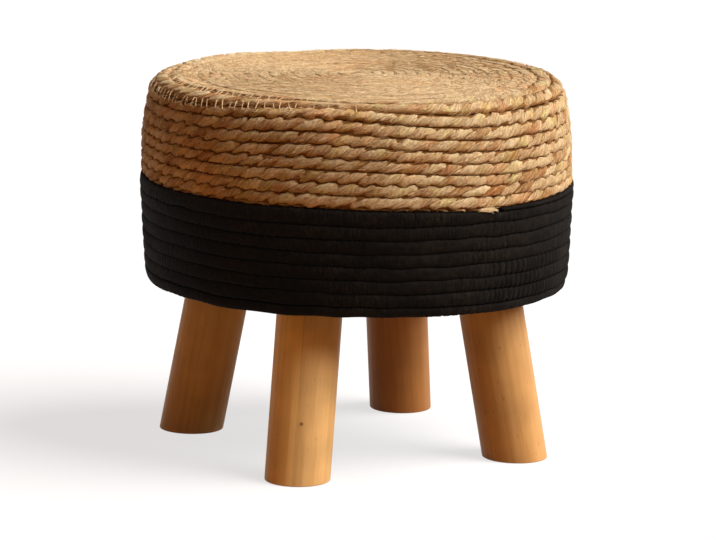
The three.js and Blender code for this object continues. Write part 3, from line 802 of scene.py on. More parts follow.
def pine_material(name, legs, turn, location, tone=(1, 1, 1), stave_and_painted_light=None, knot=None, flecked=0.15):
    """Oiled pine. turn and location bring the leg's axis onto Z. tone makes the wood lighter or darker,
    partly as the leg's own wood and partly as painted light and shade. stave_and_painted_light is where a
    glued strip ends across the leg and the tone on one side of it, partly the strip's own wood and partly
    painted light and shade, and knot is the place of a small knot"""
    finish = Finish(name)
    mapping = {"Vector": finish.place(), "Location": location, "Rotation": turn}
    local = finish.add("Mapping", mapping, vector_type="TEXTURE")[0]
    pith = finish.vector("ADD", local, (0.021, 0.034, 0.0))[0]
    late = finish.group("Growth rings", Vector=pith, Spacing=6.5 * MM, Waver=4.5 * MM)[0]
    broad = finish.streaks(local, (170, 170, 5), 1.4)
    fibres = finish.streaks(local, (800, 800, 12))
    flecks = finish.streaks(local, (230, 230, 110))
    grain = finish.total((late, 0.22), (broad, 0.5), (fibres, 0.22), clamp=True)
    # tone lightens or darkens the whole leg, partly as its own wood and partly as painted light and shade
    colour = finish.tint(finish.mix(grain, opaque(legs.early), opaque(legs.late)), opaque(tone))
    colour = finish.mottle(colour, local, 22.0, 0.2)
    dark = opaque(legs.late, 0.40)
    colour = finish.mix(finish.remap(flecks, 0.10, 0.0, 0.0, flecked), colour, dark)
    if knot is not None:
        from_knot = finish.vector("DISTANCE", finish.place(), knot)["Value"]
        colour = finish.mix(finish.remap(from_knot, 2.4 * MM, 0.9 * MM), colour, dark)
    # The tone on one side of a glued strip's edge: partly the strip's own wood, partly painted light and
    # shade
    if stave_and_painted_light is not None:
        edge, shade = stave_and_painted_light
        across = finish.calc("SUBTRACT", finish.add("SeparateXYZ", {0: local})["Y"], edge)
        side = finish.remap(across, -0.25 * MM, 0.25 * MM)
        colour = finish.tint(colour, finish.mix(side, opaque(shade), WHITE))
    height = finish.total((late, 0.5), (fibres, 0.5))
    return finish.done(colour, (fibres, 0.42, 0.58), height, 0.18, 0.12 * MM, specular=0.2)


def plywood_material():
    """Birch plywood: plies that show as bands at the edge"""
    finish = Finish("birch plywood")
    place = finish.place()
    plies = finish.calc("DIVIDE", finish.add("SeparateXYZ", {0: place})["Z"], 2.8 * MM)
    from_middle = finish.calc("ABSOLUTE", finish.calc("SUBTRACT", finish.calc("FRACT", plies), 0.5))
    streak = finish.streaks(place, (12, 420, 420))
    grain = finish.total((finish.remap(from_middle, 0.2, 0.32), 0.55), (streak, 0.4), clamp=True)
    colour = finish.mix(grain, (0.62, 0.42, 0.22, 1), (0.36, 0.20, 0.085, 1))
    return finish.done(colour, (streak, 0.8, 0.65), streak, 0.25, 0.2 * MM)


def board_material():
    """Bent fibreboard: short brown fibres pressed flat"""
    finish = Finish("fibreboard")
    place = finish.place()
    fibres = finish.streaks(place, (300, 300, 900))
    colour = finish.mix(fibres, (0.30, 0.17, 0.075, 1), (0.19, 0.098, 0.038, 1))
    colour = finish.mottle(colour, place, 60.0, 0.25)
    return finish.done(colour, (fibres, 0.9, 0.75), fibres, 0.3, 0.15 * MM)


def foam_material():
    """Open-celled foam, yellowed"""
    finish = Finish("seat foam")
    place = finish.place()
    cells = finish.cells(place, 650.0)
    open_cell = finish.remap(cells, 0.1, 0.7)
    colour = finish.mix(open_cell, (0.60, 0.50, 0.26, 1), (0.82, 0.74, 0.47, 1))
    colour = finish.mottle(colour, place, 12.0, 0.15)
    return finish.done(colour, (cells, 1.0, 0.9), open_cell, 0.6, 0.6 * MM)


def wadding_material():
    """White polyester wadding, with soft crossing fibres"""
    finish = Finish("polyester wadding")
    place = finish.place()
    across, upright = finish.streaks(place, (140, 140, 900)), finish.streaks(place, (900, 900, 120))
    fibres = finish.total((across, 0.5), (upright, 0.5))
    colour = finish.mix(fibres, (0.60, 0.60, 0.57, 1), (0.86, 0.86, 0.83, 1))
    return finish.done(colour, (fibres, 1.0, 0.85), fibres, 0.7, 0.8 * MM, sheen=0.3)


def felt_material():
    """Black spun-bonded cloth with its grid of pressed points"""
    finish = Finish("spun-bonded cloth")
    place = finish.place()
    pressed_point = finish.remap(finish.cells(place, 900.0, 0.15), 0.18, 0.42)
    fibres = finish.streaks(place, (500, 900, 500))
    colour = finish.mix(pressed_point, (0.006, 0.006, 0.007, 1), (0.018, 0.018, 0.019, 1))
    colour = finish.mix(finish.calc("MULTIPLY", fibres, 0.35), colour, (0.035, 0.035, 0.037, 1))
    return finish.done(colour, (fibres, 0.9, 0.75), pressed_point, 0.5, 0.15 * MM)


def zinc_material():
    """Zinc-plated steel, brushed and slightly dull"""
    finish = Finish("zinc-plated steel")
    place = finish.place()
    scratches = finish.streaks(place, (90, 2400, 2400))
    colour = finish.mottle((0.58, 0.60, 0.62, 1), place, 180.0, 0.25)
    return finish.done(colour, (scratches, 0.28, 0.5), scratches, 0.12, 0.05 * MM, metallic=1.0)


# Pieces


def dress(piece, material, slot, *nodes):
    """Gives a new piece its material, and lets it stand for its nodes and ride on the body. slot is not used
    """
    piece.data.materials.clear()
    piece.data.materials.append(material)
    if nodes:
        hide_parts(*nodes)
    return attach(piece, "root")


def start_piece():
    """Leaves edit mode and deselects everything"""
    if bpy.context.object and bpy.context.object.mode != "OBJECT":
        bpy.ops.object.mode_set(mode="OBJECT")
    bpy.ops.object.select_all(action="DESELECT")


def activate(piece):
    """Makes a piece the only selected one"""
    start_piece()
    piece.select_set(True)
    bpy.context.view_layer.objects.active = piece


def edit_all(piece):
    """Opens a piece in edit mode with all of it selected"""
    activate(piece)
    bpy.ops.object.mode_set(mode="EDIT")
    bpy.ops.mesh.select_all(action="SELECT")


def apply_all(piece):
    """Applies a piece's modifiers in their order, and then its place"""
    activate(piece)
    for modifier in list(piece.modifiers):
        bpy.ops.object.modifier_apply(modifier=modifier.name)
    bpy.ops.object.transform_apply(location=True, rotation=True, scale=True)


def select_faces(piece, wanted):
    """Selects the faces for which wanted(centre, normal) holds, in edit mode"""
    bpy.ops.object.mode_set(mode="OBJECT")
    for part in (*piece.data.edges, *piece.data.vertices):
        part.select = False
    for face in piece.data.polygons:
        face.select = bool(wanted(face.center, face.normal))
    bpy.ops.object.mode_set(mode="EDIT")
    bpy.ops.mesh.select_mode(type="FACE")


def ease(piece, width, segments, sharp, smooth):
    """Rounds edges that are sharp, and shades the smooth ones smooth, both by degrees"""
    bevel = piece.modifiers.new("easing", "BEVEL")
    bevel.width = width
    bevel.segments = segments
    bevel.limit_method = "ANGLE"
    bevel.angle_limit = math.radians(sharp)
    apply_all(piece)
    bpy.ops.object.shade_smooth_by_angle(angle=math.radians(smooth))


def eased_copy(name, node, width, material, slot):
    """A CAD node's finished stand-in: a copy with its faces merged and its edges eased"""
    mesh = NODES[node].data.copy()
    mesh.name = name
    piece = link(mesh)
    edit_all(piece)
    bpy.ops.mesh.remove_doubles(threshold=0.01 * MM)
    bpy.ops.mesh.dissolve_limited(angle_limit=math.radians(0.5))
    bpy.ops.object.mode_set(mode="OBJECT")
    ease(piece, width, 2, 30, 30)
    return dress(piece, material, slot, node)


# Straw rope

STRAND_SIDES = 20
STRAND_ROUGHNESS = 0.075  # of a strand's radius, in streaks along it
STITCHED_FROM = 14.3      # turns, where the rim's stitches start
STITCHED_TO = 17.0
STITCH_GAP = 3.8 * MM     # taken off a row on the side that is stitched
SEAM_WAVE = 2.0 * MM      # how far a lobe presses into the next row
TIP_FIBRES = 46
MIDDLE_FIBRES = 160       # over the hole in the middle of the seat
MATTED_REACH = 166 * MM   # how far out the seat's fibres are matted


def stitch_strength(turn):
    """How far the rows at the rim are drawn apart: most at the front left, least at the rear"""
    azimuth = TURN * turn
    lean = 0.5 + 0.5 * np.cos(azimuth - math.radians(190))
    return 0.04 + 0.96 * lean ** 3.5


def rim_step(turn):
    """How far a row stands out of the cover: the seat's last row is proud, and the rim's row is sunk"""
    step = np.interp(turn, (14.1, 14.4, 15.2, 15.35, 16.15, 16.35), (0, 1.8, 1.8, -0.3, -0.3, 0)) * MM
    return stitch_strength(turn) * step


def rim_drop(turn):
    """How much lower than half-way the seam below a row is: the rim's row is the broadest"""
    return stitch_strength(turn) * np.interp(turn, (15.0, 15.35, 16.1, 16.4), (0, 3.2, 3.2, 0)) * MM


def seam_gap(turn):
    """The gap left at the seam above the row at a turn"""
    at = (STITCHED_FROM, STITCHED_FROM + 0.1, 15.25, 15.4, STITCHED_TO - 0.05, STITCHED_TO + 0.05)
    return STITCH_GAP * stitch_strength(turn) * np.interp(turn, at, (0, 0.35, 0.35, 1, 1, 0))


def fuller_by(last):
    """How far the rows beside the tail reach below an even winding, in turns after the tail's azimuth"""
    at = (-0.13, -0.06, -0.02, 0.03, 0.07, 0.14, 0.25)
    return np.interp(last, at, (0, 0.6, 1.0, 2.7, 2.3, 1.0, 0)) * MM


def rope_rows(turns):
    """Middle of the rope along the profile, and how far it reaches up and down to its neighbours"""
    middle = rope_distance(turns)
    above, below = rope_distance(turns - 1), rope_distance(turns + 1)
    last = turns - TAIL_TURNS + 1
    seam = (above + middle) / 2 + fuller_by(last - 1) + rim_drop(turns - 1)
    top = np.where(turns < 0.6, middle - 5.2 * MM, seam)
    bottom = (middle + below) / 2 + fuller_by(last) + rim_drop(turns)
    bottom = np.where(last > 0, np.minimum(bottom, edge_distance(np.clip(last, 0, 1))), bottom)
    bottom = np.maximum(bottom, top + 0.8 * MM)
    return (top + bottom) / 2, (bottom - top) / 2 + 0.15 * MM


def wear(turns):
    """How flat the seat has been sat: 1 in the middle, 0 from the rim on"""
    return np.interp(turns, (13.6, 15.9), (1, 0))


def row_share(height):
    """How much of a row is seen: 1 for a full one, 0 where the black cord covers it"""
    return np.clip(height / (0.5 * ROPE_PITCH), 0, 1)[:, None]


def held(value, below, above):
    """A value pressed softly against a limit on each side of 0"""
    return np.where(value < 0, -pressed(np.maximum(-value, 0), below), pressed(np.maximum(value, 0), above))


def rope_strand(straw, turns, length, number):
    """One strand: its rings, and for each point how exposed it is and how pale"""
    radius = straw.rope_radius
    middle, half = rope_rows(turns)
    place, out, row = winding_frames(turns, middle)
    place = place + (0.3 * MM * drift(length, 0.05, 1) + rim_step(turns))[:, None] * out

    # The strand swings round the rope, and where a lobe of one row is broad, the next row gives way
    twist = TURN * length / straw.lay + 0.8 * drift(length, 0.12, 3)
    phase = number * math.pi + twist + 0.34 * drift(length, 0.026, 10 + number)
    narrow = np.cos(2 * twist)
    beside = np.interp(turns + 1, turns, narrow)
    wave = 0.5 * SEAM_WAVE * (beside - narrow) + 0.6 * MM * drift(length, 0.011, 4)
    wave = np.where(turns > TAIL_TURNS - 1, -np.abs(wave), wave)
    up, down = half - np.interp(turns - 1, turns, wave), half + wave
    size = 1.03 + 0.08 * drift(length, 0.030, 20 + number) + 0.09 * drift(length, 0.009, 30 + number)
    size = size * (0.3 + 0.7 * closing(length, 0.5 * MM))

    # Its section, with ridges of blades and a fine roughness, turned to its place round the rope
    angle = np.linspace(0, TURN, STRAND_SIDES, endpoint=False)[None, :] + math.pi
    twisted = angle - 0.35 * phase[:, None]
    rough = np.random.default_rng(500 + number).standard_normal((len(turns) + 2, STRAND_SIDES))
    swell = 1 + STRAND_ROUGHNESS * (rough[:-2] + rough[1:-1] + rough[2:]) / 1.7
    for waves, height in ((2, 0.06), (3, 0.08), (4, 0.08), (6, 0.07)):
        shift = 1.6 * drift(length, 0.022, 40 + 10 * waves + number)[:, None]
        depth = height * (1 + 0.4 * drift(length, 0.017, 140 + 10 * waves + number))[:, None]
        swell += depth * (2 * np.abs(np.cos(waves * twisted / 2 + shift)) - 1)
    swell *= size[:, None]
    worn = wear(turns)[:, None]
    away = radius * (0.43 + 0.57 * np.cos(angle) * swell)
    aside = radius * (0.80 + 0.22 * worn) * np.sin(angle) * swell
    cos, sin = np.cos(phase)[:, None], np.sin(phase)[:, None]
    broader = np.clip((up + down) / (ROPE_PITCH + 0.3 * MM), 1, 1.5)[:, None]
    outward = away * cos - aside * sin + 0.45 * radius * worn
    downward = -(away * sin + aside * cos) * broader

    # Its points are pressed against the neighbouring rows, the body and the worn seat
    open_share = smooth_step(outward, -0.3 * radius, 0.2 * radius)
    limits = [np.maximum(reach[:, None] - 0.5 * seam_gap(turn)[:, None] * open_share, 0.4 * MM)
              for reach, turn in ((up, turns), (down, turns + 1))]
    downward = held(downward, *limits)
    flattened = radius * (np.maximum(outward, 0) / radius) ** (0.84 - 0.2 * worn)
    outward = held(np.where(outward > 0, flattened, outward), 0.94 * radius, (1.02 - 0.24 * worn) * radius)
    shown = row_share(up + down)
    outward = outward * (0.25 + 0.75 * shown) - 0.45 * radius * (1 - shown)

    # How far a point lies out: the straw material paints shade on the deep points, and less on the worn seat
    exposure = np.clip(0.5 + 0.5 * outward / radius + 0.5 * worn, 0, 1)
    tone = 0.66 + 0.55 * drift(length, 0.020, 60 + number) + 0.25 * drift(length, 0.3, 70 + number)
    tone = (tone + 0.3 * wear(turns))[:, None] * np.ones_like(angle)
    return swept((place, out, row), outward, downward), exposure[:, ::-1], tone


class FOOTSTOOL_OT_straw_rope(bpy.types.Operator):
    """Winds the two strands of the straw rope over the seat, round the rim and down the side"""

    bl_idname = "footstool.straw_rope"
    bl_label = "Straw Rope"

    def execute(self, context):
        straw = context.scene.footstool.straw
        material = straw_material(straw)
        turns, length = even_turns(ROPE_FIRST_TURN, TAIL_TURNS, rope_distance, straw.step)
        split = int(np.searchsorted(turns, SPLIT_TURNS))
        around = TURN * 0.6 * straw.rope_radius
        for number, letter in enumerate("ab"):
            rings, exposure, tone = rope_strand(straw, turns, length, number)
            along = length + 20 * number  # so that the two strands don't show the same blades
            for part, cut in (("top", slice(0, split + 1)), ("side", slice(split, None))):
                mesh = tube_mesh(f"straw_{part}_strand_{letter}", [(rings[cut], along[cut])], around,
                                 exposure=exposure[cut], tone=tone[cut])
                dress(link(mesh), material, "straw_rope", f"straw_{part}_coil")
        core = link(self.core_mesh(straw))
        dress(core, core_material(straw), "straw_rope", "straw_top_coil", "straw_side_coil")
        return {"FINISHED"}

    def core_mesh(self, straw):
        """The rope's core, which fills the grooves between the strands and rows"""
        turns, length = even_turns(ROPE_FIRST_TURN + 0.1, TAIL_TURNS - 0.02, rope_distance, 4 * MM)
        middle, half = rope_rows(turns)
        place, out, row = winding_frames(turns, middle)
        place = place + rim_step(turns)[:, None] * out
        angle = np.linspace(0, TURN, 8, endpoint=False)[None, :] + math.pi / 8
        shown = row_share(2 * half)
        worn = wear(turns)[:, None] * np.ones_like(angle)
        outer = np.cos(angle) > 0
        filled = (1 - worn) * np.where(outer, 0.47, -0.2) + worn * np.where(outer, 0.64, -0.4)
        outward = straw.rope_radius * (filled * shown - 0.6 * (1 - shown))
        downward = half[:, None] * np.sin(angle) * (1 + 0.10 * worn)
        rings = swept((place, out, row), outward, downward)
        return tube_mesh("straw_rope_core", [(rings, length)], 20 * MM, worn=worn)


class FOOTSTOOL_OT_rim_stitches(bpy.types.Operator):
    """Whips the rim row of the rope to its neighbours above and below"""

    bl_idname = "footstool.rim_stitches"
    bl_label = "Rim Stitches"

    def execute(self, context):
        straw = context.scene.footstool.straw
        rng = np.random.default_rng(5)
        across = np.linspace(-1, 1, 9)
        threads = []
        for turn in even_turns(STITCHED_FROM, STITCHED_TO, rope_distance, straw.stitch_spacing)[0]:
            strength = float(stitch_strength(turn))
            if rng.uniform() > 3.2 * strength - 1.3:
                continue
            lean = rng.normal(0.3 if turn < 16 else 1.8, 1.3) * MM
            reach = rng.uniform(3.4, 5.4) * MM
            seam = (rope_distance(turn) + rope_distance(turn - 1)) / 2 + rim_drop(turn - 1)
            rise = np.where(np.abs(across) > 0.8, 0.6, 0.86 + 0.12 * strength - 0.08 * (1 - across ** 2))
            steps = rim_step(turn - 1), rim_step(turn)
            rise = rise * straw.rope_radius + np.interp(across, (-0.6, 0.6), steps)
            shift = turn + (lean * across + rng.normal(0, 1.5 * MM)) / (TURN * on_cover(seam)[0])
            line = laid(shift, seam + reach * across, rise)
            threads.append((line, np.full(len(line), rng.uniform(0.26, 0.42) * MM)))
        dress(link(fine_tubes("rim_stitches", threads, 6, 3 * MM)), thread_material(straw), "straw_rope")
        return {"FINISHED"}


class FOOTSTOOL_OT_loose_fibres(bpy.types.Operator):
    """Adds the fibre ends that stand out of the rope, its frayed tip and the seat's matted fibres"""

    bl_idname = "footstool.loose_fibres"
    bl_label = "Loose Fibres"

    def execute(self, context):
        straw = context.scene.footstool.straw
        rng = np.random.default_rng(11)
        thread = thread_material(straw)
        for name, threads, sides, material in (
                ("loose_fibres", self.loose(straw, rng), 3, thread),
                ("frayed_tip", self.frayed(rng), 5, frayed_material(straw)),
                ("seat_fibres", self.matted(straw, rng), 3, thread)):
            dress(link(fine_tubes(name, threads, sides, 1 * MM)), material, "straw_rope")
        return {"FINISHED"}

    def loose(self, straw, rng):
        """Fibre ends that stand out of the rope, none of them beside the band"""
        threads = []
        share = np.linspace(0, 1, 7)
        for _ in range(straw.fibres):
            turn = TAIL_TURNS * math.sqrt(rng.uniform(0.002, 0.995))
            side = rng.choice([-1, 1])
            fibre = rng.uniform(5, 16) * MM
            lift = rng.uniform(0.1, 2.6) * MM * rng.uniform(0.1, 1) ** 2
            cross = -side * fibre * rng.normal(0.27, 0.16)
            start = rng.uniform(-3.4, 3.4) * MM
            if turn > TAIL_TURNS - 1:
                continue
            middle = float(rope_distance(turn))
            way = turn + side * fibre * share / (TURN * max(float(on_cover(middle)[0]), 12 * MM))
            rise = 0.86 * straw.rope_radius + lift * share ** 1.5 + 0.5 * MM * np.sin(math.pi * share)
            line = laid(way, middle + start + cross * share, rise + rim_step(turn))
            threads.append((line, rng.uniform(0.11, 0.25) * MM * (1 - 0.75 * share)))
        return threads

    def frayed(self, rng):
        """Fibres that fan out where the rope ends"""
        threads = []
        tip, middle = TAIL_TURNS - 0.004, float(edge_distance(1.0)) - 2.4 * MM
        share = np.linspace(0, 1, 7)
        for _ in range(TIP_FIBRES):
            fibre = rng.uniform(6, 14) * MM
            behind = rng.uniform(-3.5, 8) * MM
            fan = rng.normal(0.3, 1.5) * MM
            way = tip + (fibre * (share - 1) - behind) / (TURN * SIDE_RADIUS)
            rise = rng.uniform(4.7, 5.9) * MM + rng.uniform(-0.6, 1.3) * MM * share ** 2
            line = laid(way, middle + fan * (0.6 + 0.7 * share ** 2), rise)
            threads.append((line, rng.uniform(0.16, 0.36) * MM * (1 - 0.6 * share)))
        return threads

    def matted(self, straw, rng):
        """Short fibres that lie across the worn rows of the seat, and across its middle"""
        threads = []
        share = np.linspace(-0.5, 0.5, 5)
        for _ in range(straw.matted_fibres):
            reach = MATTED_REACH * math.sqrt(rng.uniform(0.004, 1))
            azimuth = rng.uniform(0, TURN)
            fibre = rng.uniform(5, 14) * MM
            bearing = rng.normal(0, 0.55)
            bend = rng.normal(0, 0.12) * fibre * (4 * share ** 2 - 1)
            way = (azimuth + fibre * share * math.cos(bearing) / reach) / TURN
            rise = 0.775 * straw.rope_radius + rng.uniform(0, 0.35) * MM - 1.2 * MM * share ** 2
            line = laid(way, reach + fibre * share * math.sin(bearing) + bend, rise)
            threads.append((line, rng.uniform(0.16, 0.32) * MM * (1 - 1.6 * np.abs(share))))
        for _ in range(MIDDLE_FIBRES):
            bearing, aside = rng.uniform(0, TURN), rng.normal(0, 2.4) * MM
            along = rng.uniform(7, 15) * MM * share + rng.normal(0, 1.5) * MM
            x = along * math.cos(bearing) - aside * math.sin(bearing)
            y = along * math.sin(bearing) + aside * math.cos(bearing)
            level = CROWN_TOP + rng.uniform(1.2, 3.9) * MM - 2.0 * MM * share ** 2
            line = np.stack([x, y, level], axis=1)
            threads.append((line, rng.uniform(0.3, 0.55) * MM * (1 - 1.2 * np.abs(share))))
        return threads


# Black cord

CORD_SIDES = 12
CORD_STEP = 1.32 * MM
CORD_SQUARENESS = 2.4
PLEAT_SPACING = 6.4 * MM
STITCH_SPACING = 8 * MM


class FOOTSTOOL_OT_black_band(bpy.types.Operator):
    """Winds the flattened black cord, gathered and stitched row to row"""

    bl_idname = "footstool.black_band"
    bl_label = "Black Band"

    def execute(self, context):
        band = context.scene.footstool.band
        turns, length = even_turns(TAIL_TURNS, TAIL_TURNS + CORD_TURNS, cord_middle, CORD_STEP)
        upper, lower = cord_edges(turns - TAIL_TURNS)
        place, out, row = winding_frames(turns, (upper + lower) / 2)
        place = place + 0.22 * MM * drift(length, 0.06, 81)[:, None] * out

        # The section is rounded outside and nearly square behind
        angle = (np.arange(CORD_SIDES) + 0.5)[None, :] * TURN / CORD_SIDES + math.pi
        cos, sin = np.cos(angle), np.sin(angle)
        power = 2 / CORD_SQUARENESS
        outward = band.depth * np.where(cos > 0, 0.64 + 0.38 * np.abs(cos) ** 1.1, -np.abs(cos) ** power)
        down = np.sign(sin) * np.abs(sin) ** power

        # The cloth is gathered and pleated, and stitches draw the edges of its rows in
        gathers = np.cos(TURN * length / band.gather + 2.6 * drift(length, 0.02, 82))
        gathers = gathers * np.clip(0.3 + 0.7 * drift(length, 0.05, 83), 0, 1.6)
        pleats = self.pleated(turns, length)[:, None]
        swell = gathers[:, None] * (0.02 + 0.05 * down ** 2) + 0.03 * drift(length, 0.02, 85)[:, None]
        stitch = np.cos(TURN * length / STITCH_SPACING + 0.9 * drift(length, 0.05, 84))
        pull = 0.75 * MM * smooth_step(stitch, 0.5, 1) * np.clip(0.5 + 0.6 * drift(length, 0.07, 86), 0, 1)
        reach = np.maximum((lower - upper) / 2 + 0.05 * MM - pull, 0.3 * MM)
        size = (0.4 + 0.6 * closing(length, 1 * MM))[:, None]
        outward = outward * (1 + swell - 0.24 * pleats) * size
        rings = swept((place, out, row), outward, down * reach[:, None] * size)
        # How far a point lies out, lowered in the pleats' valleys: the cord's material paints shade where it
        # is low
        exposure = np.clip(outward / band.depth - 0.25, 0, 1) - 0.1 * pleats
        mesh = tube_mesh("black_cord_winding", [(rings, length)], 35 * MM, exposure=exposure[:, ::-1])
        dress(link(mesh), cord_material(band), "black_cord", "black_band_coil")
        return {"FINISHED"}

    def pleated(self, turns, length):
        """How deep the cord is pleated: at the front right, and only in its lower rows"""
        degrees = camera_degrees(TURN * turns)
        share = smooth_step(degrees, 34, 42) * (1 - smooth_step(degrees, 62, 74))
        share = share * np.interp(turns - TAIL_TURNS, (4.4, 4.9, 7.0, 7.3), (0, 1, 1, 0))
        crest = np.abs(np.cos(0.5 * TURN * length / PLEAT_SPACING + 0.8 * drift(length, 0.02, 87)))
        return share * (1 - smooth_step(crest, 0, 0.75))


# The padding inside

PAD_TOP = 341.6 * MM
PAD_REACH = 172.5 * MM
PAD_RIM_RADIUS = 8 * MM
PAD_WAIST = 177.5 * MM
PAD_FOOT = 180 * MM
SEAT_TOP = 312.3 * MM


def turned_mesh(name, profile, dents, closed=False):
    """A profile of [radius, level] points turned round the axis, with soft dents in its radius.
    A closed profile is a ring, and an open one starts and ends on the axis."""
    sides = 96
    angles = np.linspace(0, TURN, sides, endpoint=False)
    profile = np.array(profile, float)
    inner = profile if closed else profile[1:-1]
    count = len(inner)
    change = dents * (np.cos(5 * angles + 1) + np.cos(9 * angles) + np.cos(14 * angles + 2)) / 3
    radius = inner[:, :1] + change[None, :] * inner[:, :1] / inner[:, 0].max()
    level = np.repeat(inner[:, 1:], sides, axis=1)
    rings = np.stack([radius * np.cos(angles), radius * np.sin(angles), level], axis=-1)
    points = rings.reshape(-1, 3).tolist()
    faces = grid_faces(count, sides, closed=closed)[0].tolist()
    if not closed:
        low, high, top = len(points), len(points) + 1, (count - 1) * sides
        points += [(0, 0, profile[0][1]), (0, 0, profile[-1][1])]
        faces += [(low, (j + 1) % sides, j) for j in range(sides)]
        faces += [(high, top + j, top + (j + 1) % sides) for j in range(sides)]
    return plain_mesh(name, points, faces)


def pad_level(radius):
    """Level of the pad's crowned top at a radius"""
    return PAD_TOP - CROWN_RISE * (radius / CROWN_REACH) ** 2


def wadding_reach(level):
    """Outer radius of the wadding, just behind the windings"""
    return np.interp(distance_at(level), COVER_RUN, COVER[:, 0]) - 7.0 * MM


class FOOTSTOOL_OT_padding(bpy.types.Operator):
    """Makes the crowned foam pad and the wadding round the side"""

    bl_idname = "footstool.padding"
    bl_label = "Padding"

    def execute(self, context):
        rim_level = pad_level(PAD_REACH) - PAD_RIM_RADIUS
        profile = [(0, SEAT_TOP)]
        profile += [(radius, SEAT_TOP) for radius in np.linspace(20, 174, 6) * MM]
        profile += [(PAD_FOOT - 1.2 * MM, SEAT_TOP + 0.8 * MM), (PAD_FOOT, SEAT_TOP + 3 * MM)]
        for share in np.linspace(0.2, 1, 5):
            draw = PAD_FOOT + (PAD_WAIST - PAD_FOOT) * math.sin(math.pi * share / 2)
            profile.append((draw, SEAT_TOP + 3 * MM + share * 0.4 * (rim_level - SEAT_TOP)))
        for step in np.linspace(0, math.pi / 2, 8):
            out, up = PAD_RIM_RADIUS * math.cos(step), PAD_RIM_RADIUS * math.sin(step)
            profile.append((PAD_REACH + out, rim_level + up))
        profile += [(radius, pad_level(radius)) for radius in np.linspace(160, 15, 10) * MM]
        profile.append((0, PAD_TOP))
        pad = link(turned_mesh("crowned_foam_pad", profile, 0.35 * MM))
        dress(pad, foam_material(), "foam", "foam_pad")

        low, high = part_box("side_wadding")
        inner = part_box("side_hoop")[1].x + 0.35 * MM
        bottom, top = low.z, high.z
        levels = np.linspace(bottom + 4 * MM, top - 4 * MM, 18)
        low_edge, top_edge = wadding_reach(bottom) - 3.5 * MM, wadding_reach(top) - 3.5 * MM
        ring = [(inner, bottom + 1 * MM), (inner + 1.5 * MM, bottom), (low_edge, bottom)]
        ring += [(wadding_reach(level), level) for level in levels]
        ring += [(top_edge, top), (inner + 1.5 * MM, top), (inner, top - 1 * MM)]
        ring += [(inner, level) for level in np.linspace(top - 20 * MM, bottom + 20 * MM, 8)]
        wadding = link(turned_mesh("wadding_sleeve", ring, 0.3 * MM, closed=True))
        dress(wadding, wadding_material(), "wadding", "side_wadding")
        return {"FINISHED"}


# Boards, hoop, posts and dust cover


class FOOTSTOOL_OT_body(bpy.types.Operator):
    """Eases the edges of the boards, the hoop and the posts, and gives them their wood"""

    bl_idname = "footstool.body"
    bl_label = "Body"

    def execute(self, context):
        legs = context.scene.footstool.legs
        plywood = plywood_material()
        eased_copy("seat_panel", "seat_board", 0.6 * MM, plywood, "plywood")
        eased_copy("base_panel", "base_board", 0.6 * MM, plywood, "plywood")
        eased_copy("bent_hoop", "side_hoop", 0.4 * MM, board_material(), "fibreboard")
        for number, side in enumerate(SIDES):
            material = pine_material(f"post pine {side}", legs, (0, 0, 0), (0.05 * number, 0.02, 0))
            eased_copy(f"spacer_{side}", f"post_{side}", 1.0 * MM, material, "post_pine")
        return {"FINISHED"}


STAPLES = 28
STAPLE_CROWN = 10 * MM
STAPLE_REACH = 166 * MM
STAPLE_WIRE = 0.4 * MM
STAPLE_CLEARANCE = 9      # degrees kept free on each side of a leg plate
CLOTH_THICKNESS = 0.35 * MM


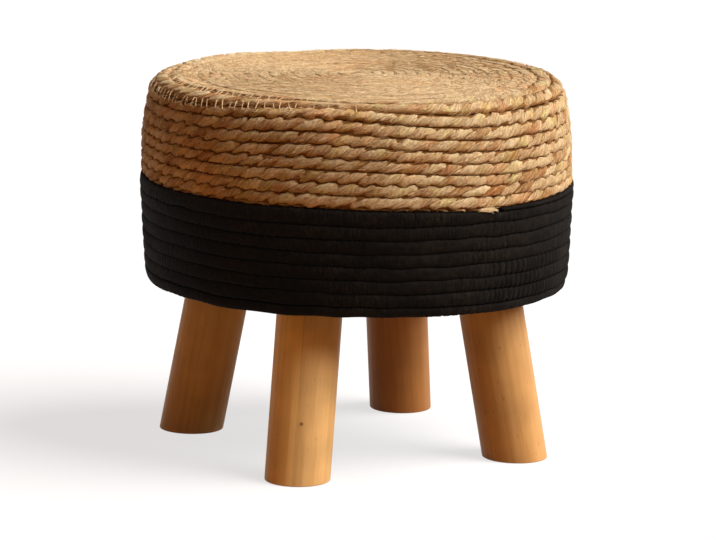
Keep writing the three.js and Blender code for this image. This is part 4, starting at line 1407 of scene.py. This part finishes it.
class FOOTSTOOL_OT_dust_cover(bpy.types.Operator):
    """Stretches the black cloth under the base and staples its edge"""

    bl_idname = "footstool.dust_cover"
    bl_label = "Dust Cover"

    def execute(self, context):
        low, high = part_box("dust_cover")
        radius, level = high.x, (low.z + high.z) / 2
        sides, rings = 168, 40
        spokes = TURN * np.arange(sides) / sides
        share, angle = np.meshgrid(np.arange(1, rings + 1) / rings, spokes, indexing="ij")
        pucker = 0.22 * MM * np.cos(STAPLES * angle) * smooth_step(share, 0.75, 1.0)
        slack = 0.25 * MM * np.cos(3 * angle) * np.sin(math.pi * share)
        x, y = radius * share * np.cos(angle), radius * share * np.sin(angle)
        points = np.stack([x, y, level + pucker + slack - 0.1 * MM], axis=-1).reshape(-1, 3).tolist()
        faces = [(0, 1 + (j + 1) % sides, 1 + j) for j in range(sides)]
        faces += grid_faces(rings, sides, start=1)[0].tolist()
        cloth = link(plain_mesh("stretched_dust_cloth", [(0, 0, level), *points], faces))
        thickness = cloth.modifiers.new("thickness", "SOLIDIFY")
        thickness.thickness = CLOTH_THICKNESS
        thickness.offset = 0
        apply_all(cloth)
        edit_all(cloth)
        bpy.ops.mesh.normals_make_consistent(inside=False)
        bpy.ops.object.mode_set(mode="OBJECT")
        dress(cloth, felt_material(), "dust_felt", "dust_cover")
        lines = [self.staple(angle, level)
                 for angle in TURN * (np.arange(STAPLES) + 0.5) / STAPLES if self.is_free(angle)]
        threads = [(line, np.full(len(line), STAPLE_WIRE)) for line in lines]
        staples = link(fine_tubes("dust_cloth_staples", threads, 6, TURN * STAPLE_WIRE))
        dress(staples, bpy.data.materials["zinc-plated steel"], "zinc_steel")
        return {"FINISHED"}

    def is_free(self, angle):
        """Whether a staple at an angle clears the leg plates"""
        away = [abs((math.degrees(angle) - azimuth + 180) % 360 - 180) for azimuth in QUARTERS.values()]
        return min(away) >= STAPLE_CLEARANCE

    def staple(self, angle, level):
        """Points along a staple, whose ends go up into the board"""
        along = STAPLE_CROWN / 2 * np.array([-math.sin(angle), math.cos(angle), 0])
        middle = np.array([STAPLE_REACH * math.cos(angle), STAPLE_REACH * math.sin(angle), level - 0.45 * MM])
        shape = ((-1, 4), (-1, 0.48), (-0.9, 0), (0, 0), (0.9, 0), (1, 0.48), (1, 4))
        return np.array([middle + share * along + np.array([0, 0, rise * MM]) for share, rise in shape])


# Legs

# How many degrees each leg is turned on its axis, and its wood. The tones are partly each leg's own wood and
# partly painted light and shade: the rear right leg is darkened as painted shadow under the seat, the front
# left leg and one side of its glued strip are lightened as painted light, and the rear left leg is lightened
# and the front right leg darkened as painted light and shade
LEG_SPIN_WOOD_AND_LIGHT = {
    "rear_right": (0, {"tone": (0.66, 0.55, 0.43)}),
    "rear_left": (140, {"tone": (1.10, 1.20, 1.08)}),
    "front_left": (8.4, {"tone": (1.06, 1.18, 1.20), "stave_and_painted_light": (0.0, (1.26, 1.28, 1.18)),
                         "knot": (-0.120, -0.1327, 0.056)}),
    "front_right": (-72.6, {"tone": (0.86, 0.87, 0.86), "stave_and_painted_light": (0.021, (0.95, 0.95, 0.90)),
                            "flecked": 0.45}),
}
GRAIN_STEP = 0.37         # how far along the grain each leg is cut from the one before


def leg_turn(azimuth):
    """The rotation that lays +Z along a leg's axis, upwards"""
    return Matrix.Rotation(math.radians(azimuth), 4, "Z") @ Matrix.Rotation(-LEG_SPLAY, 4, "Y")


def leg_top(azimuth):
    """The middle of a leg's upper end"""
    return Matrix.Rotation(math.radians(azimuth), 4, "Z") @ Vector((LEG_TOP_REACH, 0, LEG_TOP_LEVEL))


class FOOTSTOOL_OT_legs(bpy.types.Operator):
    """Turns the four legs, cuts their feet level, drills them and eases their edges"""

    bl_idname = "footstool.legs"
    bl_label = "Legs"

    def execute(self, context):
        legs = context.scene.footstool.legs
        length = 2 * LEG_RADIUS + LEG_TOP_LEVEL / math.cos(LEG_SPLAY)
        for number, (name, azimuth) in enumerate(QUARTERS.items()):
            turn, top = leg_turn(azimuth), leg_top(azimuth)
            axis = turn @ Vector((0, 0, 1))
            start_piece()
            bpy.ops.mesh.primitive_cylinder_add(
                vertices=legs.facets, radius=LEG_RADIUS, depth=length, location=top - axis * length / 2,
                rotation=turn.to_euler("XYZ"), end_fill_type="NGON")
            piece = bpy.context.object
            piece.name = piece.data.name = f"turned_leg_{name}"
            edit_all(piece)
            bpy.ops.mesh.bisect(plane_co=(0, 0, 0), plane_no=(0, 0, 1), use_fill=True, clear_inner=True)
            select_faces(piece, lambda centre, normal: normal.z > 0.99 and centre.z > 0.4 * length)
            bpy.ops.mesh.inset(thickness=LEG_RADIUS - LEG_BORE, depth=0)
            bpy.ops.mesh.extrude_region_move(TRANSFORM_OT_translate={"value": tuple(-axis * LEG_BORE_DEPTH)})
            bpy.ops.object.mode_set(mode="OBJECT")
            ease(piece, legs.easing, 4, 50, 35)
            # The leg's tones hold painted light and shade as well as its own wood
            spin, wood = LEG_SPIN_WOOD_AND_LIGHT[name]
            turned = (turn @ Matrix.Rotation(math.radians(spin), 4, "Z")).to_euler("XYZ")
            along_grain = tuple(top - axis * (GRAIN_STEP * number))
            material = pine_material(f"leg pine {name}", legs, turned, along_grain, **wood)
            dress(piece, material, "leg_pine", f"leg_{name}")
        return {"FINISHED"}


# Steel parts

SCREW_RADIUS = 2 * MM
POST_SCREW_LENGTH = 39.8 * MM
PLATE_SCREW_LENGTH = 15 * MM
SCREW_HEAD_RADIUS = 3.8 * MM
SCREW_HEAD_HEIGHT = 2.1 * MM
RECESS_WIDTH = 0.75 * MM
RECESS_DEPTH = 1.3 * MM
BOLT_RADIUS = 4 * MM
BOLT_IN_LEG = 42 * MM
BOLT_IN_PLATE = 16.8 * MM
BOLT_THREADS_MEET = 5 * MM   # below the leg's upper end


def threaded_rod(radius, depth, pitch, low, high, sides=14):
    """A threaded rod along Z, from low to high, as a tube whose ridge winds up with its pitch"""
    levels = np.linspace(low, high, max(4, int((high - low) / (pitch / 4))))
    angles = np.linspace(0, TURN, sides, endpoint=False)
    ridge = 1 - np.abs(2 * ((levels[:, None] / pitch - angles[None, :] / TURN) % 1) - 1)
    taper = np.clip((levels - low) / (2.5 * pitch), 0.15, 1)[:, None]
    reach = (radius - depth) * np.clip(taper * 1.3, 0, 1) + depth * ridge * taper
    level = np.repeat(levels[:, None], sides, axis=1)
    rings = np.stack([reach * np.cos(angles), reach * np.sin(angles), level], axis=-1)
    return rings[:, ::-1], np.arange(len(rings)) * MM


def screw_mesh(length, is_pan):
    """A cross-recessed screw along Z: a pan head stands on level 0, and a countersunk one ends there"""
    rise = SCREW_HEAD_HEIGHT if is_pan else 0.0
    start_piece()
    bpy.ops.mesh.primitive_cylinder_add(
        vertices=32, radius=SCREW_HEAD_RADIUS, depth=SCREW_HEAD_HEIGHT,
        location=(0, 0, rise - SCREW_HEAD_HEIGHT / 2), end_fill_type="NGON")
    piece = bpy.context.object
    apply_all(piece)
    if is_pan:
        select_faces(piece, lambda centre, normal: normal.z > 0.9)
        bpy.ops.mesh.bevel(offset=1.2 * MM, segments=4, affect="EDGES")
    else:
        select_faces(piece, lambda centre, normal: normal.z < -0.9)
        bpy.ops.transform.resize(value=(0.5, 0.5, 1))
    bpy.ops.object.mode_set(mode="OBJECT")
    for turn in (0, math.pi / 2):
        start_piece()
        bpy.ops.mesh.primitive_cube_add(size=1, location=(0, 0, rise), rotation=(0, 0, turn))
        cutter = bpy.context.object
        cutter.scale = (SCREW_HEAD_RADIUS, RECESS_WIDTH, 2 * RECESS_DEPTH)
        apply_all(cutter)
        cut = piece.modifiers.new("recess", "BOOLEAN")
        cut.operation = "DIFFERENCE"
        cut.object = cutter
        cut.solver = "EXACT"
        apply_all(piece)
        bpy.data.objects.remove(cutter)
    neck = rise - SCREW_HEAD_HEIGHT + 0.3 * MM
    shank = threaded_rod(SCREW_RADIUS, depth=0.45 * MM, pitch=1.4 * MM, low=-length, high=neck)
    bar = link(tube_mesh("shank", [shank], TURN * SCREW_RADIUS))
    activate(piece)
    bar.select_set(True)
    bpy.ops.object.join()
    bpy.ops.object.shade_smooth_by_angle(angle=math.radians(35))
    mesh = piece.data.copy()
    bpy.data.objects.remove(piece)
    return mesh


def place_copy(name, mesh, matrix):
    """A piece with its own copy of a mesh, with its place in the mesh"""
    own = mesh.copy()
    own.name = name
    own.transform(matrix)
    return link(own)


class FOOTSTOOL_OT_steel(bpy.types.Operator):
    """Makes the leg plates, the hanger bolts and all screws"""

    bl_idname = "footstool.steel"
    bl_label = "Steel Parts"

    def execute(self, context):
        zinc = zinc_material()
        pan = screw_mesh(PLATE_SCREW_LENGTH, is_pan=True)
        sunk = screw_mesh(POST_SCREW_LENGTH, is_pan=False)
        upside_down = Matrix.Rotation(math.pi, 4, "X")
        for side in SIDES:
            for end, flip in (("top", Matrix.Identity(4)), ("base", upside_down)):
                node = f"post_screw_{end}_{side}"
                low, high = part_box(node)
                middle = (low + high) / 2
                middle.z = high.z if end == "top" else low.z
                screw = place_copy(f"post_fixing_{end}_{side}", sunk, Matrix.Translation(middle) @ flip)
                dress(screw, zinc, "zinc_steel", node)
        for number, (quarter, azimuth) in enumerate(QUARTERS.items()):
            eased_copy(f"angled_plate_{quarter}", f"leg_plate_{quarter}", 0.35 * MM, zinc, "zinc_steel")
            for corner in range(1, 5):
                node = f"plate_screw_{quarter}_{corner}"
                low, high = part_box(node)
                middle = (low + high) / 2
                middle.z = low.z + SCREW_HEAD_HEIGHT
                driven = Matrix.Rotation(0.7 * corner + number, 4, "Z")
                place = Matrix.Translation(middle) @ upside_down @ driven
                dress(place_copy(f"pan_screw_{quarter}_{corner}", pan, place), zinc, "zinc_steel", node)
            leg_end = threaded_rod(BOLT_RADIUS, depth=0.8 * MM, pitch=3 * MM,
                                   low=-BOLT_IN_LEG, high=-BOLT_THREADS_MEET)
            plate_end = threaded_rod(BOLT_RADIUS, depth=0.55 * MM, pitch=1.25 * MM,
                                     low=-BOLT_THREADS_MEET - 1 * MM, high=BOLT_IN_PLATE)
            bolt = tube_mesh(f"threaded_bolt_{quarter}", [leg_end, plate_end], TURN * BOLT_RADIUS)
            bolt.transform(Matrix.Translation(leg_top(azimuth)) @ leg_turn(azimuth))
            dress(link(bolt), zinc, "zinc_steel", f"hanger_bolt_{quarter}")
        return {"FINISHED"}


# Stage

FLOOR_RADIUS = 40
FLOOR_GAP = 0.2 * MM
FLOOR_BOUNCE = (0.31, 0.147, 0.042, 1)  # what the floor throws back onto the stool


def soft_sun(name, azimuth, elevation, width, strength, colour):
    """A soft, even light. azimuth is in degrees from the camera's side, and width is its angle"""
    lamp = bpy.data.lights.new(name, "SUN")
    lamp.angle = math.radians(width)
    lamp.energy = strength
    lamp.color = colour
    turn, rise = CAMERA_AZIMUTH + math.radians(azimuth), math.radians(elevation)
    away = Vector((math.cos(turn) * math.cos(rise), math.sin(turn) * math.cos(rise), math.sin(rise)))
    piece = bpy.data.objects.new(name, lamp)
    piece.location = 3 * away
    piece.rotation_euler = away.to_track_quat("Z", "Y").to_euler()
    bpy.context.scene.collection.objects.link(piece)


def background_rays(shade):
    """1 for the rays that see the background: the camera's, and those mirrored or refracted"""
    path = shade.add("LightPath")
    seen = shade.calc("MAXIMUM", path["Is Glossy Ray"], path["Is Transmission Ray"])
    return shade.calc("MAXIMUM", path["Is Camera Ray"], seen)


def floor_material(colour):
    """A pale floor that keeps a soft shadow, throws little light back, and is clear from below"""
    finish = Finish("pale floor")
    finish.tree.nodes.remove(finish.tree.nodes["Principled BSDF"])
    seen = background_rays(finish)
    lit = finish.add("BsdfDiffuse", {"Color": finish.mix(seen, FLOOR_BOUNCE, opaque(colour))})[0]
    white = finish.add("Emission", {"Color": opaque(colour), "Strength": 1.0})[0]
    pale = finish.add("MixShader", {0: finish.calc("MULTIPLY", seen, 0.7), 1: lit, 2: white})[0]
    clear = finish.add("BsdfTransparent")[0]
    below = finish.add("NewGeometry")["Backfacing"]
    choice = finish.add("MixShader", {0: below, 1: pale, 2: clear})[0]
    finish.feed(finish.tree.nodes["Material Output"].inputs["Surface"], choice)
    return finish.material


class FOOTSTOOL_OT_stage(bpy.types.Operator):
    """Lays the pale floor and sets the lamps, the room light and the camera"""

    bl_idname = "footstool.stage"
    bl_label = "Stage"

    def execute(self, context):
        stage = context.scene.footstool.stage
        start_piece()
        bpy.ops.mesh.primitive_circle_add(
            vertices=96, radius=FLOOR_RADIUS, fill_type="NGON", location=(0, 0, -FLOOR_GAP))
        floor = bpy.context.object
        floor.name = floor.data.name = "floor"
        floor.data.materials.append(floor_material(stage.floor))

        world = bpy.data.worlds.new("room")
        context.scene.world = world
        world.use_nodes = True
        shade = Shade(world.node_tree)
        colour = shade.mix(background_rays(shade), opaque(stage.ambient), WHITE)
        shade.feed(shade.tree.nodes["Background"].inputs["Color"], colour)

        soft_sun("key", azimuth=80, elevation=45, width=50,
                 strength=stage.key_strength, colour=(1.0, 0.975, 0.94))
        soft_sun("fill", azimuth=-20, elevation=12, width=60,
                 strength=stage.fill_strength, colour=(1.0, 0.6, 0.32))
        self.add_camera(context)
        context.scene.view_settings.view_transform = "Standard"
        return {"FINISHED"}

    def add_camera(self, context):
        """The photograph's camera, turned by its yaw, pitch and roll"""
        camera = bpy.data.cameras.new("camera")
        camera.lens = CAMERA_LENS
        camera.sensor_width = CAMERA_SENSOR
        camera.clip_end = 200
        yaw, pitch, roll = CAMERA_YAW, CAMERA_PITCH, CAMERA_ROLL
        forward = Vector((math.sin(yaw) * math.cos(pitch), math.cos(yaw) * math.cos(pitch), -math.sin(pitch)))
        right = Vector((math.cos(yaw), -math.sin(yaw), 0))
        up = right.cross(forward)
        rolled_right = math.cos(roll) * right - math.sin(roll) * up
        rolled_up = math.sin(roll) * right + math.cos(roll) * up
        turned = Matrix((rolled_right, rolled_up, -forward)).transposed().to_4x4()
        place = Matrix.Translation((0, -CAMERA_DISTANCE, CAMERA_HEIGHT))
        about = Matrix.Rotation(CAMERA_AZIMUTH + math.pi / 2, 4, "Z")
        piece = bpy.data.objects.new("camera", camera)
        piece.matrix_world = about @ place @ turned
        context.scene.collection.objects.link(piece)
        context.scene.camera = piece


class FOOTSTOOL_PT_panel(bpy.types.Panel):
    """The footstool's settings and steps"""

    bl_idname = "FOOTSTOOL_PT_panel"
    bl_label = "Footstool"
    bl_space_type = "VIEW_3D"
    bl_region_type = "UI"
    bl_category = "Footstool"

    def draw(self, context):
        settings = context.scene.footstool
        for group in (settings.straw, settings.band, settings.legs, settings.stage):
            box = self.layout.box()
            for name in group.__annotations__:
                box.prop(group, name)
        for step in STEPS:
            self.layout.operator(step.bl_idname)


STEPS = (
    FOOTSTOOL_OT_stage, FOOTSTOOL_OT_straw_rope, FOOTSTOOL_OT_rim_stitches, FOOTSTOOL_OT_loose_fibres,
    FOOTSTOOL_OT_black_band, FOOTSTOOL_OT_padding, FOOTSTOOL_OT_body, FOOTSTOOL_OT_legs,
    FOOTSTOOL_OT_steel, FOOTSTOOL_OT_dust_cover,
)
CLASSES = (
    StrawSettings, BandSettings, LegSettings, StageSettings, FootstoolSettings, *STEPS,
    FOOTSTOOL_PT_panel,
)


def register():
    """Registers the classes and the scene's settings"""
    for item in CLASSES:
        bpy.utils.register_class(item)
    bpy.types.Scene.footstool = bpy.props.PointerProperty(type=FootstoolSettings)


def unregister():
    """Takes back what register did"""
    del bpy.types.Scene.footstool
    for item in reversed(CLASSES):
        bpy.utils.unregister_class(item)


def main():
    """Builds the stool"""
    register()
    bpy.ops.footstool.stage()
    bpy.ops.footstool.straw_rope()
    bpy.ops.footstool.rim_stitches()
    bpy.ops.footstool.loose_fibres()
    bpy.ops.footstool.black_band()
    bpy.ops.footstool.padding()
    bpy.ops.footstool.body()
    bpy.ops.footstool.legs()
    bpy.ops.footstool.steel()
    bpy.ops.footstool.dust_cover()


if __name__ == "__main__":
    main()
